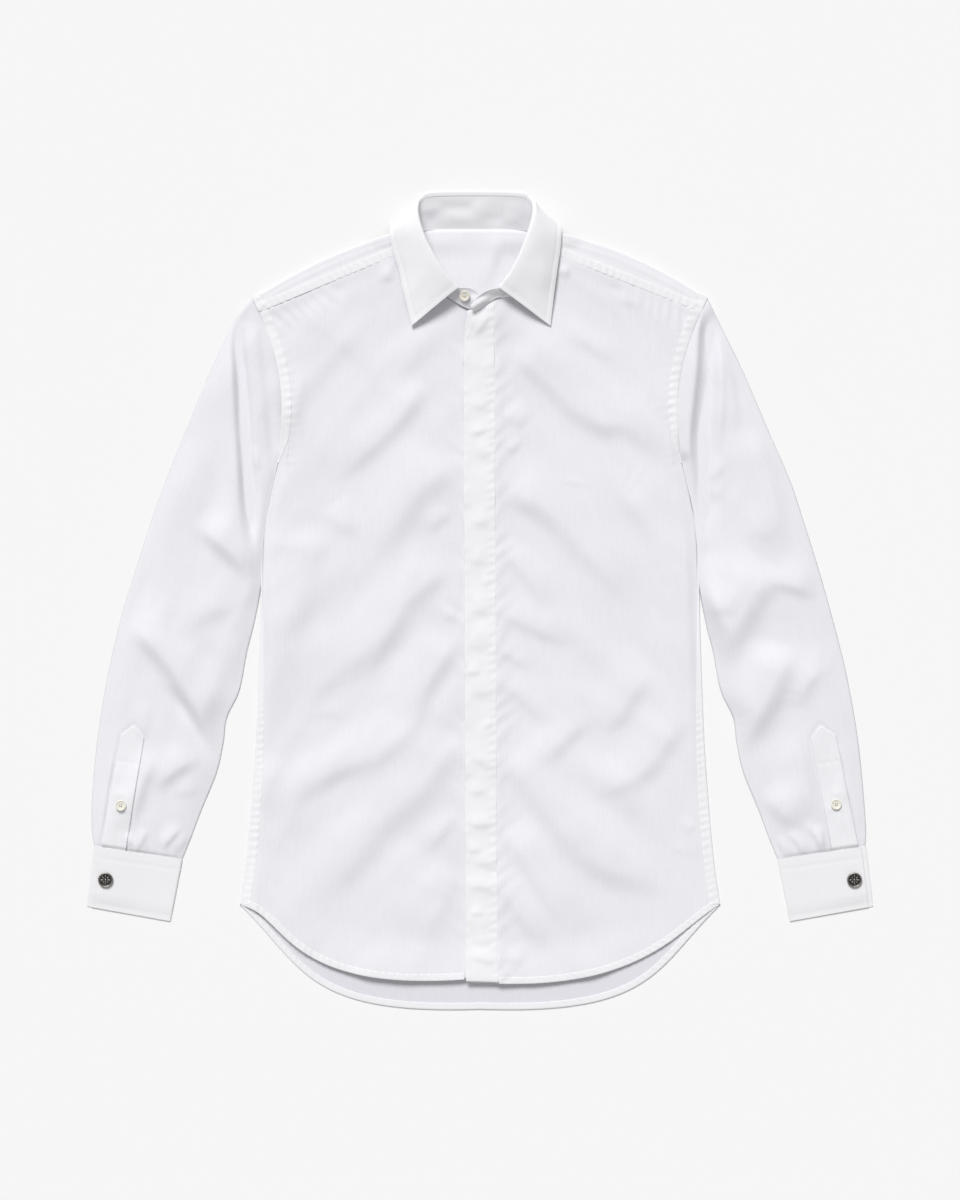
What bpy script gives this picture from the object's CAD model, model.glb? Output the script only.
"""Long-sleeved dress shirt with a fly front, laid flat on its back: the looks of every piece.

Sizes and tables are in millimetres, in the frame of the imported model: +Z up off the table,
+Y towards the collar, +X towards the wearer's left sleeve, origin on the table under the
middle of the shirt. "Right" and "left" are the wearer's, so the right sleeve lies at -X.
"""

import logging
import math
from collections.abc import Callable, Iterator, Sequence
from contextlib import contextmanager
from dataclasses import dataclass, field
from enum import Enum

import bmesh
import bpy
import numpy as np
from mathutils import Matrix, Vector


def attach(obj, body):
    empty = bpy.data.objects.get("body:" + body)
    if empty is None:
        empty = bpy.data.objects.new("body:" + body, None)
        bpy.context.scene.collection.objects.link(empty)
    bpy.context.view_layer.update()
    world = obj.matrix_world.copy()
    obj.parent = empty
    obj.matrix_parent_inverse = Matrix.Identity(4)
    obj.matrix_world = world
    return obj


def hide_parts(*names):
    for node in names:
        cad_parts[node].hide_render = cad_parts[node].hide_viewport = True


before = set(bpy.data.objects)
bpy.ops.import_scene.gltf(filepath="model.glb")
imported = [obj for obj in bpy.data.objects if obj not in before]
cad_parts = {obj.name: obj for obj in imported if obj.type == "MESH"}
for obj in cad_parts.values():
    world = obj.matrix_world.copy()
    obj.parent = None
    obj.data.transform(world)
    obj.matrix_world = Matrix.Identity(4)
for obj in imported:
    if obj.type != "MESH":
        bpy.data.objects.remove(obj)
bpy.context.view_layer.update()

Array = np.ndarray
Height = Callable[[Array], Array]
Point = tuple[float, float]
Triple = tuple[float, float, float]
Table = Sequence[Sequence[float]]
Path = Sequence[Point]
Piece = bpy.types.Object
Material = bpy.types.Material
Socket = bpy.types.NodeSocket

MM = 0.001  # a millimetre in metres
BACK_HEM_TOP = 1.35  # height of the back hem's upper side
SLAB_ROUNDING = 0.6  # width of a slab's rounded edge, as a share of its wall
BODY = "root"
LOG = logging.getLogger("shirt")


class Side(Enum):
    """The wearer's right or left; the value is the sign of X."""

    RIGHT = -1.0
    LEFT = 1.0

    @property
    def word(self) -> str:
        """The side's name as it ends a piece's name."""
        return self.name.lower()

    @property
    def column(self) -> int:
        """The column of a two-sided table that holds this side's numbers."""
        return 1 if self is Side.RIGHT else 2


class Slot(Enum):
    """The record's material slots."""

    SHIRTING = "shirting"
    FUSED = "fused_cotton"
    PEARL = "pearl"
    GUNMETAL = "gunmetal"


class Held(Enum):
    """How a sheet of cloth is held."""

    LAID = "laid"
    FOLDED = "folded"


# ---- plain geometry


def evenly(count: int) -> Array:
    """Numbers spaced evenly from 0 to 1."""
    return np.linspace(0.0, 1.0, count)


def bell(share: Array) -> Array:
    """A smooth hump, 1 at 0 and next to nothing past 2."""
    return np.exp(-(share**2))


def smooth_step(share: Array | float) -> Array:
    """Ease a share from 0 to 1 with level ends."""
    share = np.clip(share, 0.0, 1.0)
    return share * share * (3.0 - 2.0 * share)


def catmull(rows: Table, per_step: int) -> Array:
    """Smooth the rows of a table.

    Args:
        rows: The table, one row of numbers for each station.
        per_step: Steps between two rows.

    Returns:
        The smoothed rows, those of the table among them.
    """
    table = np.asarray(rows, float)
    padded = np.vstack([table[:1], table, table[-1:]])
    share = (np.arange(per_step) / per_step)[:, None]
    made = []
    for a, b, c, d in zip(padded, padded[1:], padded[2:], padded[3:]):
        made.append(
            0.5 * (2 * b + (c - a) * share + (2 * a - 5 * b + 4 * c - d) * share**2
                   + (3 * b - a - 3 * c + d) * share**3)
        )
    return np.vstack([*made, table[-1:]])


def bezier(controls: Path, count: int) -> Array:
    """Points along a cubic curve.

    Args:
        controls: Its four control points.
        count: Steps along it.

    Returns:
        count + 1 points.
    """
    a, b, c, d = np.asarray(controls, float)
    t = evenly(count + 1)[:, None]
    return a * (1 - t) ** 3 + 3 * b * t * (1 - t) ** 2 + 3 * c * t * t * (1 - t) + d * t**3


def lengths(points: Array) -> Array:
    """Length run along a line of points, at each point."""
    steps = np.linalg.norm(np.diff(points, axis=0), axis=1)
    return np.concatenate([[0.0], np.cumsum(steps)])


def runs(grid: Array, axis: int) -> Array:
    """Length run along the lines of a grid of points, at each point.

    Args:
        grid: Points in rows.
        axis: 0 for the lines down the rows, 1 for those along them.

    Returns:
        The lengths.
    """
    steps = np.linalg.norm(np.diff(grid, axis=axis), axis=2)
    return np.concatenate([0.0 * steps.take([0], axis), np.cumsum(steps, axis=axis)], axis=axis)


def unit(vectors: Array) -> Array:
    """Vectors of length 1 along the given ones."""
    return vectors / np.linalg.norm(vectors, axis=-1, keepdims=True)


def bowed(start: Point, end: Point, bow: float, shares: Array) -> Array:
    """Points at shares of the way along a line that bows to its right.

    Args:
        start: Where the line starts.
        end: Where it ends.
        bow: How far its middle lies off the straight.
        shares: The shares of the way.

    Returns:
        The points.
    """
    way = np.subtract(end, start)
    share = np.asarray(shares, float)[:, None]
    return start + way * share + unit(np.array([way[1], -way[0]])) * bow * np.sin(math.pi * share)


def resample(points: Array, shares: int | Array) -> Array:
    """Points spaced along a line of points.

    Args:
        points: The line.
        shares: How many even steps, or the shares of its length to read it at.

    Returns:
        The points.
    """
    if isinstance(shares, int):
        shares = evenly(shares + 1)
    run = lengths(points)
    places = np.asarray(shares) * run[-1]
    return np.stack([np.interp(places, run, axis) for axis in points.T], axis=1)


def edged(count: int, margin: float) -> Array:
    """Shares from 0 to 1, with two closer steps at each end for a rounded edge.

    Args:
        count: Even steps between.
        margin: Share that the rounded edge takes.

    Returns:
        The shares.
    """
    inner = np.linspace(margin, 1.0 - margin, count + 1)
    return np.concatenate([[0.0, 0.3 * margin], inner, [1.0 - 0.3 * margin, 1.0]])


def between(start: Array, end: Array, shares: Array) -> Array:
    """A net of points from one line to another, at shares of the way."""
    shares = shares[None, :, None]
    return start[:, None] * (1 - shares) + end[:, None] * shares


def coons(top: Array, foot: Array, start: Array, end: Array) -> Array:
    """Fill four edge lines with a net of plan points.

    Args:
        top: From the start line to the end line.
        foot: The same at the other end, with as many points.
        start: Down from the top line.
        end: The same on the other side, with as many points.

    Returns:
        The net, a row for each point of the start line.
    """
    v = evenly(len(start))[:, None, None]
    u = evenly(len(top))[None, :, None]
    across = start[:, None] * (1 - u) + end[:, None] * u
    down = top[None] * (1 - v) + foot[None] * v
    corners = (top[0] * (1 - u) + top[-1] * u) * (1 - v) + (foot[0] * (1 - u) + foot[-1] * u) * v
    return across + down - corners


def follow(path: Path | Array, plan: Array) -> tuple[Array, Array]:
    """Find where plan points lie beside a path.

    Args:
        path: The path's points.
        plan: The plan points, in any shape of array.

    Returns:
        The length along the path to the nearest place, and the distance from it,
        which is above zero on the left of the path.
    """
    path = np.asarray(path, float)
    along = np.zeros(plan.shape[:-1])
    away = np.full(plan.shape[:-1], 1e9)
    run = lengths(path)
    for start, end, before in zip(path, path[1:], run):
        step = end - start
        length = max(1e-9, float(np.hypot(*step)))
        offset = plan - start
        share = np.clip((offset @ step) / length**2, 0.0, 1.0)
        gap = offset - share[..., None] * step
        distance = np.hypot(gap[..., 0], gap[..., 1])
        side = np.where(step[0] * offset[..., 1] - step[1] * offset[..., 0] < 0.0, -1.0, 1.0)
        closer = distance < np.abs(away)
        away = np.where(closer, distance * side, away)
        along = np.where(closer, before + share * length, along)
    return along, away


def mirrored(points: Path | Array, side: Side) -> Array:
    """Plan points of the +X side, put on a side."""
    return np.asarray(points, float) * (side.value, 1.0)


def beside(path: Array, distance: float | Array) -> Array:
    """A path moved to its left by a distance."""
    run = np.gradient(path, axis=0)
    left = unit(np.stack([-run[:, 1], run[:, 0]], axis=1))
    return path + left * np.reshape(distance, (-1, 1))


# ---- the lie of the cloth

LIGHT_FROM = np.array([-0.31, 0.951])  # in plan: creases show their shade on the other side


@dataclass(frozen=True)
class Crease:
    """A soft ridge along the line of its shaded side, or a trough along its own line.

    A height below zero makes it a trough. The shaded side is the steep one.
    """

    path: Path
    reach: float
    height: float
    start: float = 34.0
    start_share: float = 0.45
    end_share: float = 0.42
    shaded: float = 0.68
    lit: float = 1.5

    def lift(self, plan: Array) -> Array:
        """Height that the crease adds at plan points."""
        line = catmull(self.path, 6)
        line = resample(line, max(6, int(lengths(line)[-1] / 6.0)))
        along, away = follow(line, plan)
        length = lengths(line)[-1]
        share = along / length
        fade = smooth_step(share / min(self.start_share, self.start / length))
        fade = fade * smooth_step((1.0 - share) / self.end_share)
        if self.height < 0.0:
            return self.height * fade * bell(away / self.reach)
        run = line[-1] - line[0]
        lit = 1.0 if -run[1] * LIGHT_FROM[0] + run[0] * LIGHT_FROM[1] > 0.0 else -1.0
        shade = self.shaded * self.reach
        lee = lit * away - 0.75 * shade
        width = np.where(lee > 0.0, self.lit * self.reach, shade)
        return self.height * fade * bell(lee / width)


def unevenness(seed: int, size: tuple[int, int], place: Array) -> Array:
    """Smooth random heights, read off a lattice of random numbers.

    Args:
        seed: Of the numbers.
        size: How many there are along each axis.
        place: Where the heights are read, in cells of the lattice.

    Returns:
        The heights.
    """
    knots = np.random.default_rng(seed).standard_normal(size)
    cell = np.clip(np.floor(place).astype(int), 0, np.array(size) - 2)
    u, v = np.moveaxis(smooth_step(place - cell), -1, 0)
    i, j = cell[..., 0], cell[..., 1]
    low = knots[i, j] * (1 - u) + knots[i + 1, j] * u
    high = knots[i, j + 1] * (1 - u) + knots[i + 1, j + 1] * u
    return low * (1 - v) + high * v


def creases(*rows: Sequence[float]) -> tuple[Crease, ...]:
    """Creases from rows of reach, height and then the path's x and y in turn."""
    return tuple(Crease(tuple(zip(row[2::2], row[3::2])), row[0], row[1]) for row in rows)


@dataclass(frozen=True)
class Undulation:
    """Gentle unevenness of cloth that has been worn, washed and pressed."""

    seed: int
    cell: float
    height: float

    def lift(self, plan: Array) -> Array:
        """Height that it adds at plan points."""
        half_span = 560.0
        count = int(2 * half_span / self.cell) + 3
        return self.height * unevenness(self.seed, (count, count), (plan + half_span) / self.cell)


@dataclass(frozen=True)
class Drape:
    """Broad soft folds that fan down and out from the centre, uneven in length and depth."""

    seed: int
    heading: float
    long: float
    wide: float
    height: float
    other_half: float = 40.0
    fade: float = 22.0

    def lift(self, plan: Array) -> Array:
        """Height that the folds add at plan points."""
        turn = math.radians(self.heading)
        out, up = np.abs(plan[..., 0]), plan[..., 1]
        along = (out * math.cos(turn) + up * math.sin(turn)) / self.long
        away = (up * math.cos(turn) - out * math.sin(turn)) / self.wide
        away = away + self.other_half * (plan[..., 0] < 0.0) + 0.35 * np.sin(2.1 * along)
        place = np.stack([along + 9.0, away + 45.0], axis=-1)
        return self.height * unevenness(self.seed, (24, 140), place) * smooth_step(out / self.fade)


@dataclass(frozen=True)
class Pucker:
    """Ripples that a line of stitching draws into the cloth beside it."""

    path: Path
    height: float = 0.3
    pitch: float = 7.6
    reach: float = 7.0
    slant: float = 0.7

    def lift(self, plan: Array) -> Array:
        """Height that the ripples add at plan points."""
        along, away = follow(self.path, plan)
        wander = 1.3 * np.sin(along * 0.043 + self.slant) + 0.9 * np.sin(along * 0.117 + 2.0)
        wave = np.sin(2 * math.pi * (along + self.slant * away) / self.pitch + wander)
        uneven = 0.76 + 0.24 * np.sin(along * 0.071 + 3.0 * self.slant)
        return self.height * uneven * wave * bell(away / self.reach)


@dataclass(frozen=True)
class Welt:
    """A raised band beside a seam, where the cloth is doubled under the stitching."""

    path: Path
    width: float
    height: float

    def lift(self, plan: Array) -> Array:
        """Height that the band adds at plan points."""
        _, away = follow(self.path, plan)
        return self.height * smooth_step((self.width - np.abs(away)) / 1.4)


@dataclass(frozen=True)
class Over:
    """A level over another one, with or without ripples of its own."""

    base: Height
    rise: float
    ripple: Pucker | Undulation | None = None

    def __call__(self, plan: Array) -> Array:
        """Height at plan points."""
        level = self.base(plan) + self.rise
        return level + self.ripple.lift(plan) if self.ripple else level


def level_at(height: float) -> Height:
    """A level that is the same everywhere."""
    return lambda plan: np.full(plan.shape[:-1], height)


@dataclass(frozen=True)
class Lie:
    """Everything that shapes one stretch of cloth, with the most it may add up to."""

    creases: Sequence[Crease] = ()
    details: Sequence[Undulation | Drape | Pucker | Welt] = ()
    most: float = 6.0

    def lift(self, plan: Array) -> Array:
        """Height of the cloth over its resting level at plan points."""
        total = sum((c.lift(plan) for c in self.creases), np.zeros(plan.shape[:-1]))
        total = self.most * np.tanh(total / self.most)
        return total + sum((d.lift(plan) for d in self.details), np.zeros(plan.shape[:-1]))


# ---- the finishes


class Nodes:
    """A node tree that is filled in a few plain calls."""

    def __init__(self, tree: bpy.types.NodeTree) -> None:
        """Keep the tree that is filled."""
        self.tree = tree

    def add(self, kind: str, inputs: dict | None = None, **settings: object) -> bpy.types.Node:
        """Add a node.

        Args:
            kind: Its type.
            inputs: Values, or the sockets that feed them, by input name or place.
            settings: Its own properties.

        Returns:
            The node.
        """
        node = self.tree.nodes.new(kind)
        for name, value in settings.items():
            setattr(node, name, value)
        for name, value in (inputs or {}).items():
            self.feed(node.inputs[name], value)
        return node

    def feed(self, entry: Socket, value: object) -> None:
        """Link a socket to an input, or set a plain value on the input itself."""
        if isinstance(value, Socket):
            self.tree.links.new(value, entry)
        else:
            entry.default_value = value

    def dress(self, inputs: dict) -> None:
        """Feed the inputs of the shader, by name."""
        for name, value in inputs.items():
            self.feed(self.tree.nodes["Principled BSDF"].inputs[name], value)

    def math(self, operation: str, *values: object) -> Socket:
        """One sum on values or sockets."""
        return self.add("ShaderNodeMath", dict(enumerate(values)), operation=operation).outputs[0]

    def noise(self, vector: object, scale: float, detail: float = 2.0) -> Socket:
        """Smooth noise along a vector."""
        inputs = {"Vector": vector, "Scale": scale, "Detail": detail}
        return self.add("ShaderNodeTexNoise", inputs).outputs["Fac"]

    def stretched(self, vector: object, scale: Triple) -> Socket:
        """A vector scaled along each of its axes."""
        return self.add("ShaderNodeMapping", {"Vector": vector, "Scale": scale}).outputs[0]

    def place(self) -> Socket:
        """The place on the piece, in metres."""
        return self.add("ShaderNodeTexCoord").outputs["Object"]

    def ramp(self, factor: object, low: Sequence[float], high: Sequence[float]) -> Socket:
        """A colour between two, by a factor."""
        node = self.add("ShaderNodeMix", data_type="RGBA")
        for name, value in {"Factor": factor, "A": (*low, 1.0), "B": (*high, 1.0)}.items():
            self.feed(next(s for s in node.inputs if s.name == name and s.enabled), value)
        return next(s for s in node.outputs if s.enabled)

    def bump(self, height: object, strength: float, distance: float) -> Socket:
        """A surface's normal, pushed by a height."""
        inputs = {"Height": height, "Strength": strength, "Distance": distance}
        return self.add("ShaderNodeBump", inputs).outputs[0]


def new_material(name: str) -> tuple[Material, Nodes]:
    """A new material, and its nodes to be filled in."""
    made = bpy.data.materials.new(name)
    made.use_nodes = True
    return made, Nodes(made.node_tree)


@dataclass(frozen=True)
class ClothFinish:
    """Fine plain-weave cotton, with slub yarns that run along the grain."""

    name: str
    colour: Triple
    slub: float = 0.045
    yarns_per_mm: float = 3.4
    relief: float = 0.00002
    roughness: float = 0.84
    sheen: float = 0.12

    def material(self) -> Material:
        """The cloth's material; the piece's UV map holds its grain, in metres."""
        made, nodes = new_material(self.name)
        grain = nodes.add("ShaderNodeUVMap", uv_map="grain").outputs[0]
        warp = nodes.noise(nodes.stretched(grain, (640.0, 34.0, 1.0)), 1.0, 3.0)
        weft = nodes.noise(nodes.stretched(grain, (240.0, 620.0, 1.0)), 1.0, 2.0)
        cloud = nodes.noise(grain, 30.0, 3.0)
        tone = nodes.math("ADD", nodes.math("MULTIPLY", warp, 0.42), nodes.math("MULTIPLY", weft, 0.34))
        tone = nodes.math("ADD", tone, nodes.math("MULTIPLY", cloud, 0.24))
        dark = tuple(level * (1.0 - 2 * self.slub) for level in self.colour)
        light = tuple(min(1.0, level * (1.0 + 2 * self.slub)) for level in self.colour)
        axes = nodes.add("ShaderNodeSeparateXYZ", {0: grain})
        turns = self.yarns_per_mm * 1000.0 * math.pi
        over = nodes.math("SINE", nodes.math("MULTIPLY", axes.outputs[0], turns))
        under = nodes.math("SINE", nodes.math("MULTIPLY", axes.outputs[1], turns * 0.86))
        weave = nodes.math("MULTIPLY", over, under)
        height = nodes.math("ADD", nodes.math("MULTIPLY", weave, 0.35), warp)
        nodes.dress({
            "Base Color": nodes.ramp(tone, dark, light),
            "Roughness": nodes.math("MULTIPLY_ADD", cloud, 0.14, self.roughness - 0.07),
            "Normal": nodes.bump(height, 0.5, self.relief),
            "Sheen Weight": self.sheen,
            "Sheen Roughness": 0.5,
            "Specular IOR Level": 0.18,
        })
        return made


@dataclass(frozen=True)
class ThreadFinish:
    """Twisted sewing thread."""

    name: str
    colour: Triple

    def material(self) -> Material:
        """The thread's material, with its twist as a fine wave."""
        made, nodes = new_material(self.name)
        twist = nodes.noise(nodes.place(), 2600.0, 1.0)
        nodes.dress({
            "Base Color": nodes.ramp(twist, tuple(level * 0.93 for level in self.colour), self.colour),
            "Normal": nodes.bump(twist, 0.4, 0.00005),
            "Roughness": 0.6,
            "Sheen Weight": 0.1,
        })
        return made


@dataclass(frozen=True)
class PearlFinish:
    """Shell of a button: ivory, with faint clouded growth lines and a soft polish."""

    name: str
    light: Triple = (0.86, 0.84, 0.77)
    dark: Triple = (0.74, 0.70, 0.60)

    def material(self) -> Material:
        """The shell's material."""
        made, nodes = new_material(self.name)
        cloud = nodes.noise(nodes.stretched(nodes.place(), (260.0, 420.0, 300.0)), 1.0, 3.0)
        nodes.dress({
            "Base Color": nodes.ramp(cloud, self.light, self.dark),
            "Roughness": nodes.math("MULTIPLY_ADD", cloud, 0.2, 0.18),
            "Coat Weight": 0.35,
            "Coat Roughness": 0.12,
        })
        return made


@dataclass(frozen=True)
class MetalFinish:
    """Aged grey metal: bright on its worn heights and darker in its hollows."""

    name: str
    bright: Triple = (0.42, 0.40, 0.38)
    dark: Triple = (0.07, 0.065, 0.06)

    def material(self) -> Material:
        """The metal's material."""
        made, nodes = new_material(self.name)
        stain = nodes.noise(nodes.place(), 900.0, 4.0)
        hollow = nodes.add("ShaderNodeAttribute", attribute_name="hollow").outputs["Fac"]
        mark = nodes.math("MINIMUM", nodes.math("ADD", hollow, nodes.math("MULTIPLY", stain, 0.45)), 1.0)
        nodes.dress({
            "Base Color": nodes.ramp(mark, self.bright, self.dark),
            "Roughness": nodes.math("MULTIPLY_ADD", stain, 0.3, 0.24),
            "Normal": nodes.bump(stain, 0.3, 0.0001),
            "Metallic": 1.0,
        })
        return made


@dataclass(frozen=True)
class FloorFinish:
    """Plain matt paper."""

    name: str = "pale_paper"
    colour: Triple = (0.86, 0.86, 0.86)

    def material(self) -> Material:
        """The paper's material."""
        made, nodes = new_material(self.name)
        pulp = nodes.noise(nodes.place(), 300.0, 2.0)
        nodes.dress({
            "Base Color": nodes.ramp(pulp, tuple(level * 0.998 for level in self.colour), self.colour),
            "Roughness": 0.95,
            "Specular IOR Level": 0.0,
        })
        return made


class Wardrobe:
    """The finishes in use, each made once."""

    def __init__(self) -> None:
        """Make the materials."""
        self.shirting = ClothFinish("white_shirting", (0.762, 0.754, 0.793)).material()
        self.inside = ClothFinish("shirting_inside", (0.70, 0.69, 0.735)).material()
        self.lined = ClothFinish("lined_shirting", (0.790, 0.784, 0.814), slub=0.04).material()
        self.doubled = ClothFinish("doubled_shirting", (0.808, 0.803, 0.828), slub=0.03).material()
        self.fused = ClothFinish("fused_collar", (0.842, 0.837, 0.857), slub=0.035).material()
        self.stand = ClothFinish("fused_stand", (0.77, 0.763, 0.79), slub=0.045).material()
        self.cuff = ClothFinish("fused_cuff", (0.795, 0.792, 0.808), slub=0.025).material()
        self.thread = ThreadFinish("white_thread", (0.86, 0.86, 0.87)).material()
        self.pearl = PearlFinish("ivory_shell").material()
        self.metal = MetalFinish("aged_metal").material()


# ---- making meshes


def make_piece(
    name: str,
    points: Array,
    faces: Sequence[Sequence[int]],
    material: Material,
    grain: Array | None = None,
) -> Piece:
    """Make one object of points and faces.

    Args:
        name: The object's name.
        points: Its points in millimetres.
        faces: Its faces.
        material: Its finish.
        grain: Each point's place in the cloth, in millimetres, for the weave.

    Returns:
        The object.
    """
    mesh = bpy.data.meshes.new(name)
    mesh.from_pydata((points.reshape(-1, 3) * MM).tolist(), [], faces)
    if grain is not None:
        corner = np.empty(len(mesh.loops), np.int32)
        mesh.loops.foreach_get("vertex_index", corner)
        layer = mesh.uv_layers.new(name="grain")
        layer.data.foreach_set("uv", (grain.reshape(-1, 2)[corner] * MM).astype(np.float32).ravel())
    mesh.shade_smooth()
    mesh.materials.append(material)
    return show(bpy.data.objects.new(name, mesh))


def show(piece: Piece) -> Piece:
    """Put an object into the scene."""
    bpy.context.scene.collection.objects.link(piece)
    return piece


def grid_faces(index: Array, loop: bool = False, flip: bool = False) -> list[list[int]]:
    """Faces over a grid of points.

    Args:
        index: The number of each point, in rows.
        loop: Whether the rows close into rings.
        flip: Whether the faces look the other way.

    Returns:
        The faces, four points to each.
    """
    if loop:
        index = np.hstack([index, index[:, :1]])
    quads = np.stack([index[:-1, :-1], index[1:, :-1], index[1:, 1:], index[:-1, 1:]], axis=-1)
    quads = quads.reshape(-1, 4)
    return (quads[:, ::-1] if flip else quads).tolist()


def numbered(rows: int, columns: int, start: int = 0) -> Array:
    """Numbers of a grid's points, in rows, from a first one."""
    return np.arange(start, start + rows * columns).reshape(rows, columns)


@contextmanager
def reshaped(mesh: bpy.types.Mesh) -> Iterator[bmesh.types.BMesh]:
    """Work on a mesh's points and faces, and put them back."""
    shape = bmesh.new()
    shape.from_mesh(mesh)
    yield shape
    shape.to_mesh(mesh)
    shape.free()


def turn_outwards(piece: Piece) -> Piece:
    """Point a closed piece's faces outwards."""
    with reshaped(piece.data) as shape:
        bmesh.ops.recalc_face_normals(shape, faces=shape.faces)
    return piece


def slab(
    name: str, net: Array, top: Height, wall: float, material: Material
) -> Piece:
    """A level piece of cloth with a rounded edge all round, over a net of plan points.

    Args:
        name: The object's name.
        net: Plan points, in rows; they are the cloth's grain too.
        top: Height of its upper side at plan points.
        wall: Its thickness.
        material: Its finish.

    Returns:
        The object, a closed shell.
    """
    rows, columns = net.shape[:2]
    from_start, from_top = runs(net, 1), runs(net, 0)
    edge = np.minimum(
        np.minimum(from_start, from_start[:, -1:] - from_start),
        np.minimum(from_top, from_top[-1:] - from_top),
    )
    edge = np.clip(edge / (SLAB_ROUNDING * wall), 0.0, 1.0)
    full = np.sqrt(np.maximum(0.0, 1.0 - (1.0 - edge) ** 2))
    level = top(net)
    upper = np.dstack([net, level - (1.0 - full) * wall / 2])
    lower = np.dstack([net, level - wall + (1.0 - full) * wall / 2])
    upper_index = numbered(rows, columns)
    lower_index = upper_index.copy()
    lower_index[1:-1, 1:-1] = numbered(rows - 2, columns - 2, rows * columns)
    points = np.vstack([upper.reshape(-1, 3), lower[1:-1, 1:-1].reshape(-1, 3)])
    a, b, c = upper[0, 0], upper[min(4, rows - 1), 0], upper[0, min(4, columns - 1)]
    flip = bool(np.cross((b - a)[:2], (c - a)[:2]) < 0.0)
    faces = grid_faces(upper_index, flip=flip) + grid_faces(lower_index, flip=not flip)
    return make_piece(name, points, faces, material, points[:, :2])


def wall_shell(piece: Piece, thickness: float) -> Piece:
    """Give an open surface its wall, on the side that its faces look away from."""
    wall = piece.modifiers.new("wall", "SOLIDIFY")
    wall.thickness = thickness * MM
    wall.offset = -1.0
    wall.use_even_offset = True
    return piece


def round_rim(piece: Piece) -> None:
    """Round a walled piece's rim."""
    rim = piece.modifiers.new("rim", "BEVEL")
    rim.width, rim.segments, rim.limit_method = 0.4 * MM, 2, "ANGLE"
    rim.angle_limit = math.radians(60.0)


def plain_mesh(piece: Piece) -> Piece:
    """Turn a piece with modifiers into a plain mesh."""
    bpy.context.view_layer.update()
    evaluated = piece.evaluated_get(bpy.context.evaluated_depsgraph_get())
    mesh = bpy.data.meshes.new_from_object(evaluated)
    piece.modifiers.clear()
    piece.data = mesh
    return piece


def declare(piece: Piece, slot: Slot, *nodes: str) -> Piece:
    """Tell the frame which solids a finished piece stands for, and report it."""
    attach(piece, BODY)
    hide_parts(*nodes)
    LOG.info("%s: %d faces, for %s", piece.name, len(piece.data.polygons), ", ".join(nodes))
    return piece


# ---- the cut


@dataclass(frozen=True)
class Cut:
    """The outlines that the shirt's pieces share, in plan; one side is given, at +X."""

    shoulder_tip: Point = (227.0, 302.0)
    armpit: Point = (202.5, 136.0)
    armhole_bow: float = 15.0
    shoulder_bow: Point = (6.0, 8.5)
    front_yoke_share: float = 0.09
    back_yoke_share: float = 0.19
    neck_shoulder: Point = (67.5, 371.5)
    neck_front_yoke: Point = (69.5, 349.5)
    side_seam: Path = (
        (202.5, 136.0), (211.0, 100.0), (217.0, 60.0), (220.0, -50.0),
        (224.0, -150.0), (232.0, -250.0), (239.5, -305.0),
    )
    back_hem: Path = ((239.5, -305.0), (175.0, -367.5), (176.0, -415.0), (0.0, -408.8))
    right_front_hem: Path = ((239.5, -305.0), (191.0, -312.5), (202.0, -396.0), (0.0, -377.5))
    left_front_hem: Path = ((239.5, -305.0), (202.0, -322.5), (168.0, -393.0), (0.0, -382.0))
    fly_edge: Path = (
        (-7.0, 291.5), (-7.6, 282.0), (-10.8, 271.0), (-14.6, 261.0), (-16.3, 242.0), (-16.5, 215.0),
        (-15.6, 0.0), (-14.8, -200.0), (-14.0, -381.5),
    )
    fly_stitch: Path = ((14.6, 302.5), (18.0, -382.5))

    def armhole(self, shares: Array) -> Array:
        """The armhole seam, from the shoulder tip 0 to the armpit 1."""
        return bowed(self.shoulder_tip, self.armpit, self.armhole_bow, shares)

    def side_line(self) -> Array:
        """The side seam, from the armpit to the hem corner."""
        return catmull(self.side_seam, 8)

    def half_width(self, y: Array) -> Array:
        """Half the body's width at a height below the armpit."""
        line = self.side_line()[::-1]
        return np.interp(y, line[:, 1], line[:, 0])

    def body_edge(self, share: float, arm_rows: int, side_rows: int) -> Array:
        """The body's edge, down the armhole from a share of it and then the side seam."""
        arm = resample(self.armhole(np.linspace(share, 1.0, 40)), arm_rows)
        return np.vstack([arm[:-1], resample(self.side_line(), side_rows)])

    def front_hem(self, side: Side) -> Array:
        """A front's hem, from the side corner to the centre line."""
        controls = self.right_front_hem if side is Side.RIGHT else self.left_front_hem
        return mirrored(bezier(controls, 80), side)

    def back_hem_line(self) -> Array:
        """The back's hem, from the left corner to the right one."""
        hem = bezier(self.back_hem, 80)
        return np.vstack([hem[1:], mirrored(hem[::-1][1:], Side.RIGHT)])

    def shoulder_fold(self, side: Side, shares: Array) -> Array:
        """The fold along the shoulder, from the tip 0 to the neck 1."""
        neck = self.neck_shoulder
        line = mirrored(bowed(self.shoulder_tip, neck, self.shoulder_bow[side.column - 1], shares), side)
        line[:, 0] += collar_axis(neck[1]) * shares
        return line

    def yoke_seam(self, side: Side, shares: Array) -> Array:
        """The yoke's front seam, from the armhole 0 to the neck 1."""
        start = self.armhole([self.front_yoke_share])[0] * (side.value, 1.0)
        end = np.array(self.neck_front_yoke)
        end = np.array([collar_axis(end[1]) + side.value * end[0], end[1]])
        share = np.asarray(shares, float)[:, None]
        return start + (end - start) * share


def collar_axis(y: float | Array) -> float | Array:
    """X of the collar's centre line: it swings towards the left side at the points."""
    return -4.5 + 0.065 * np.maximum(0.0, 361.0 - y)


CUT = Cut()

# ---- the creases, by hand: reach, height, and x and y along each one's path

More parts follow.
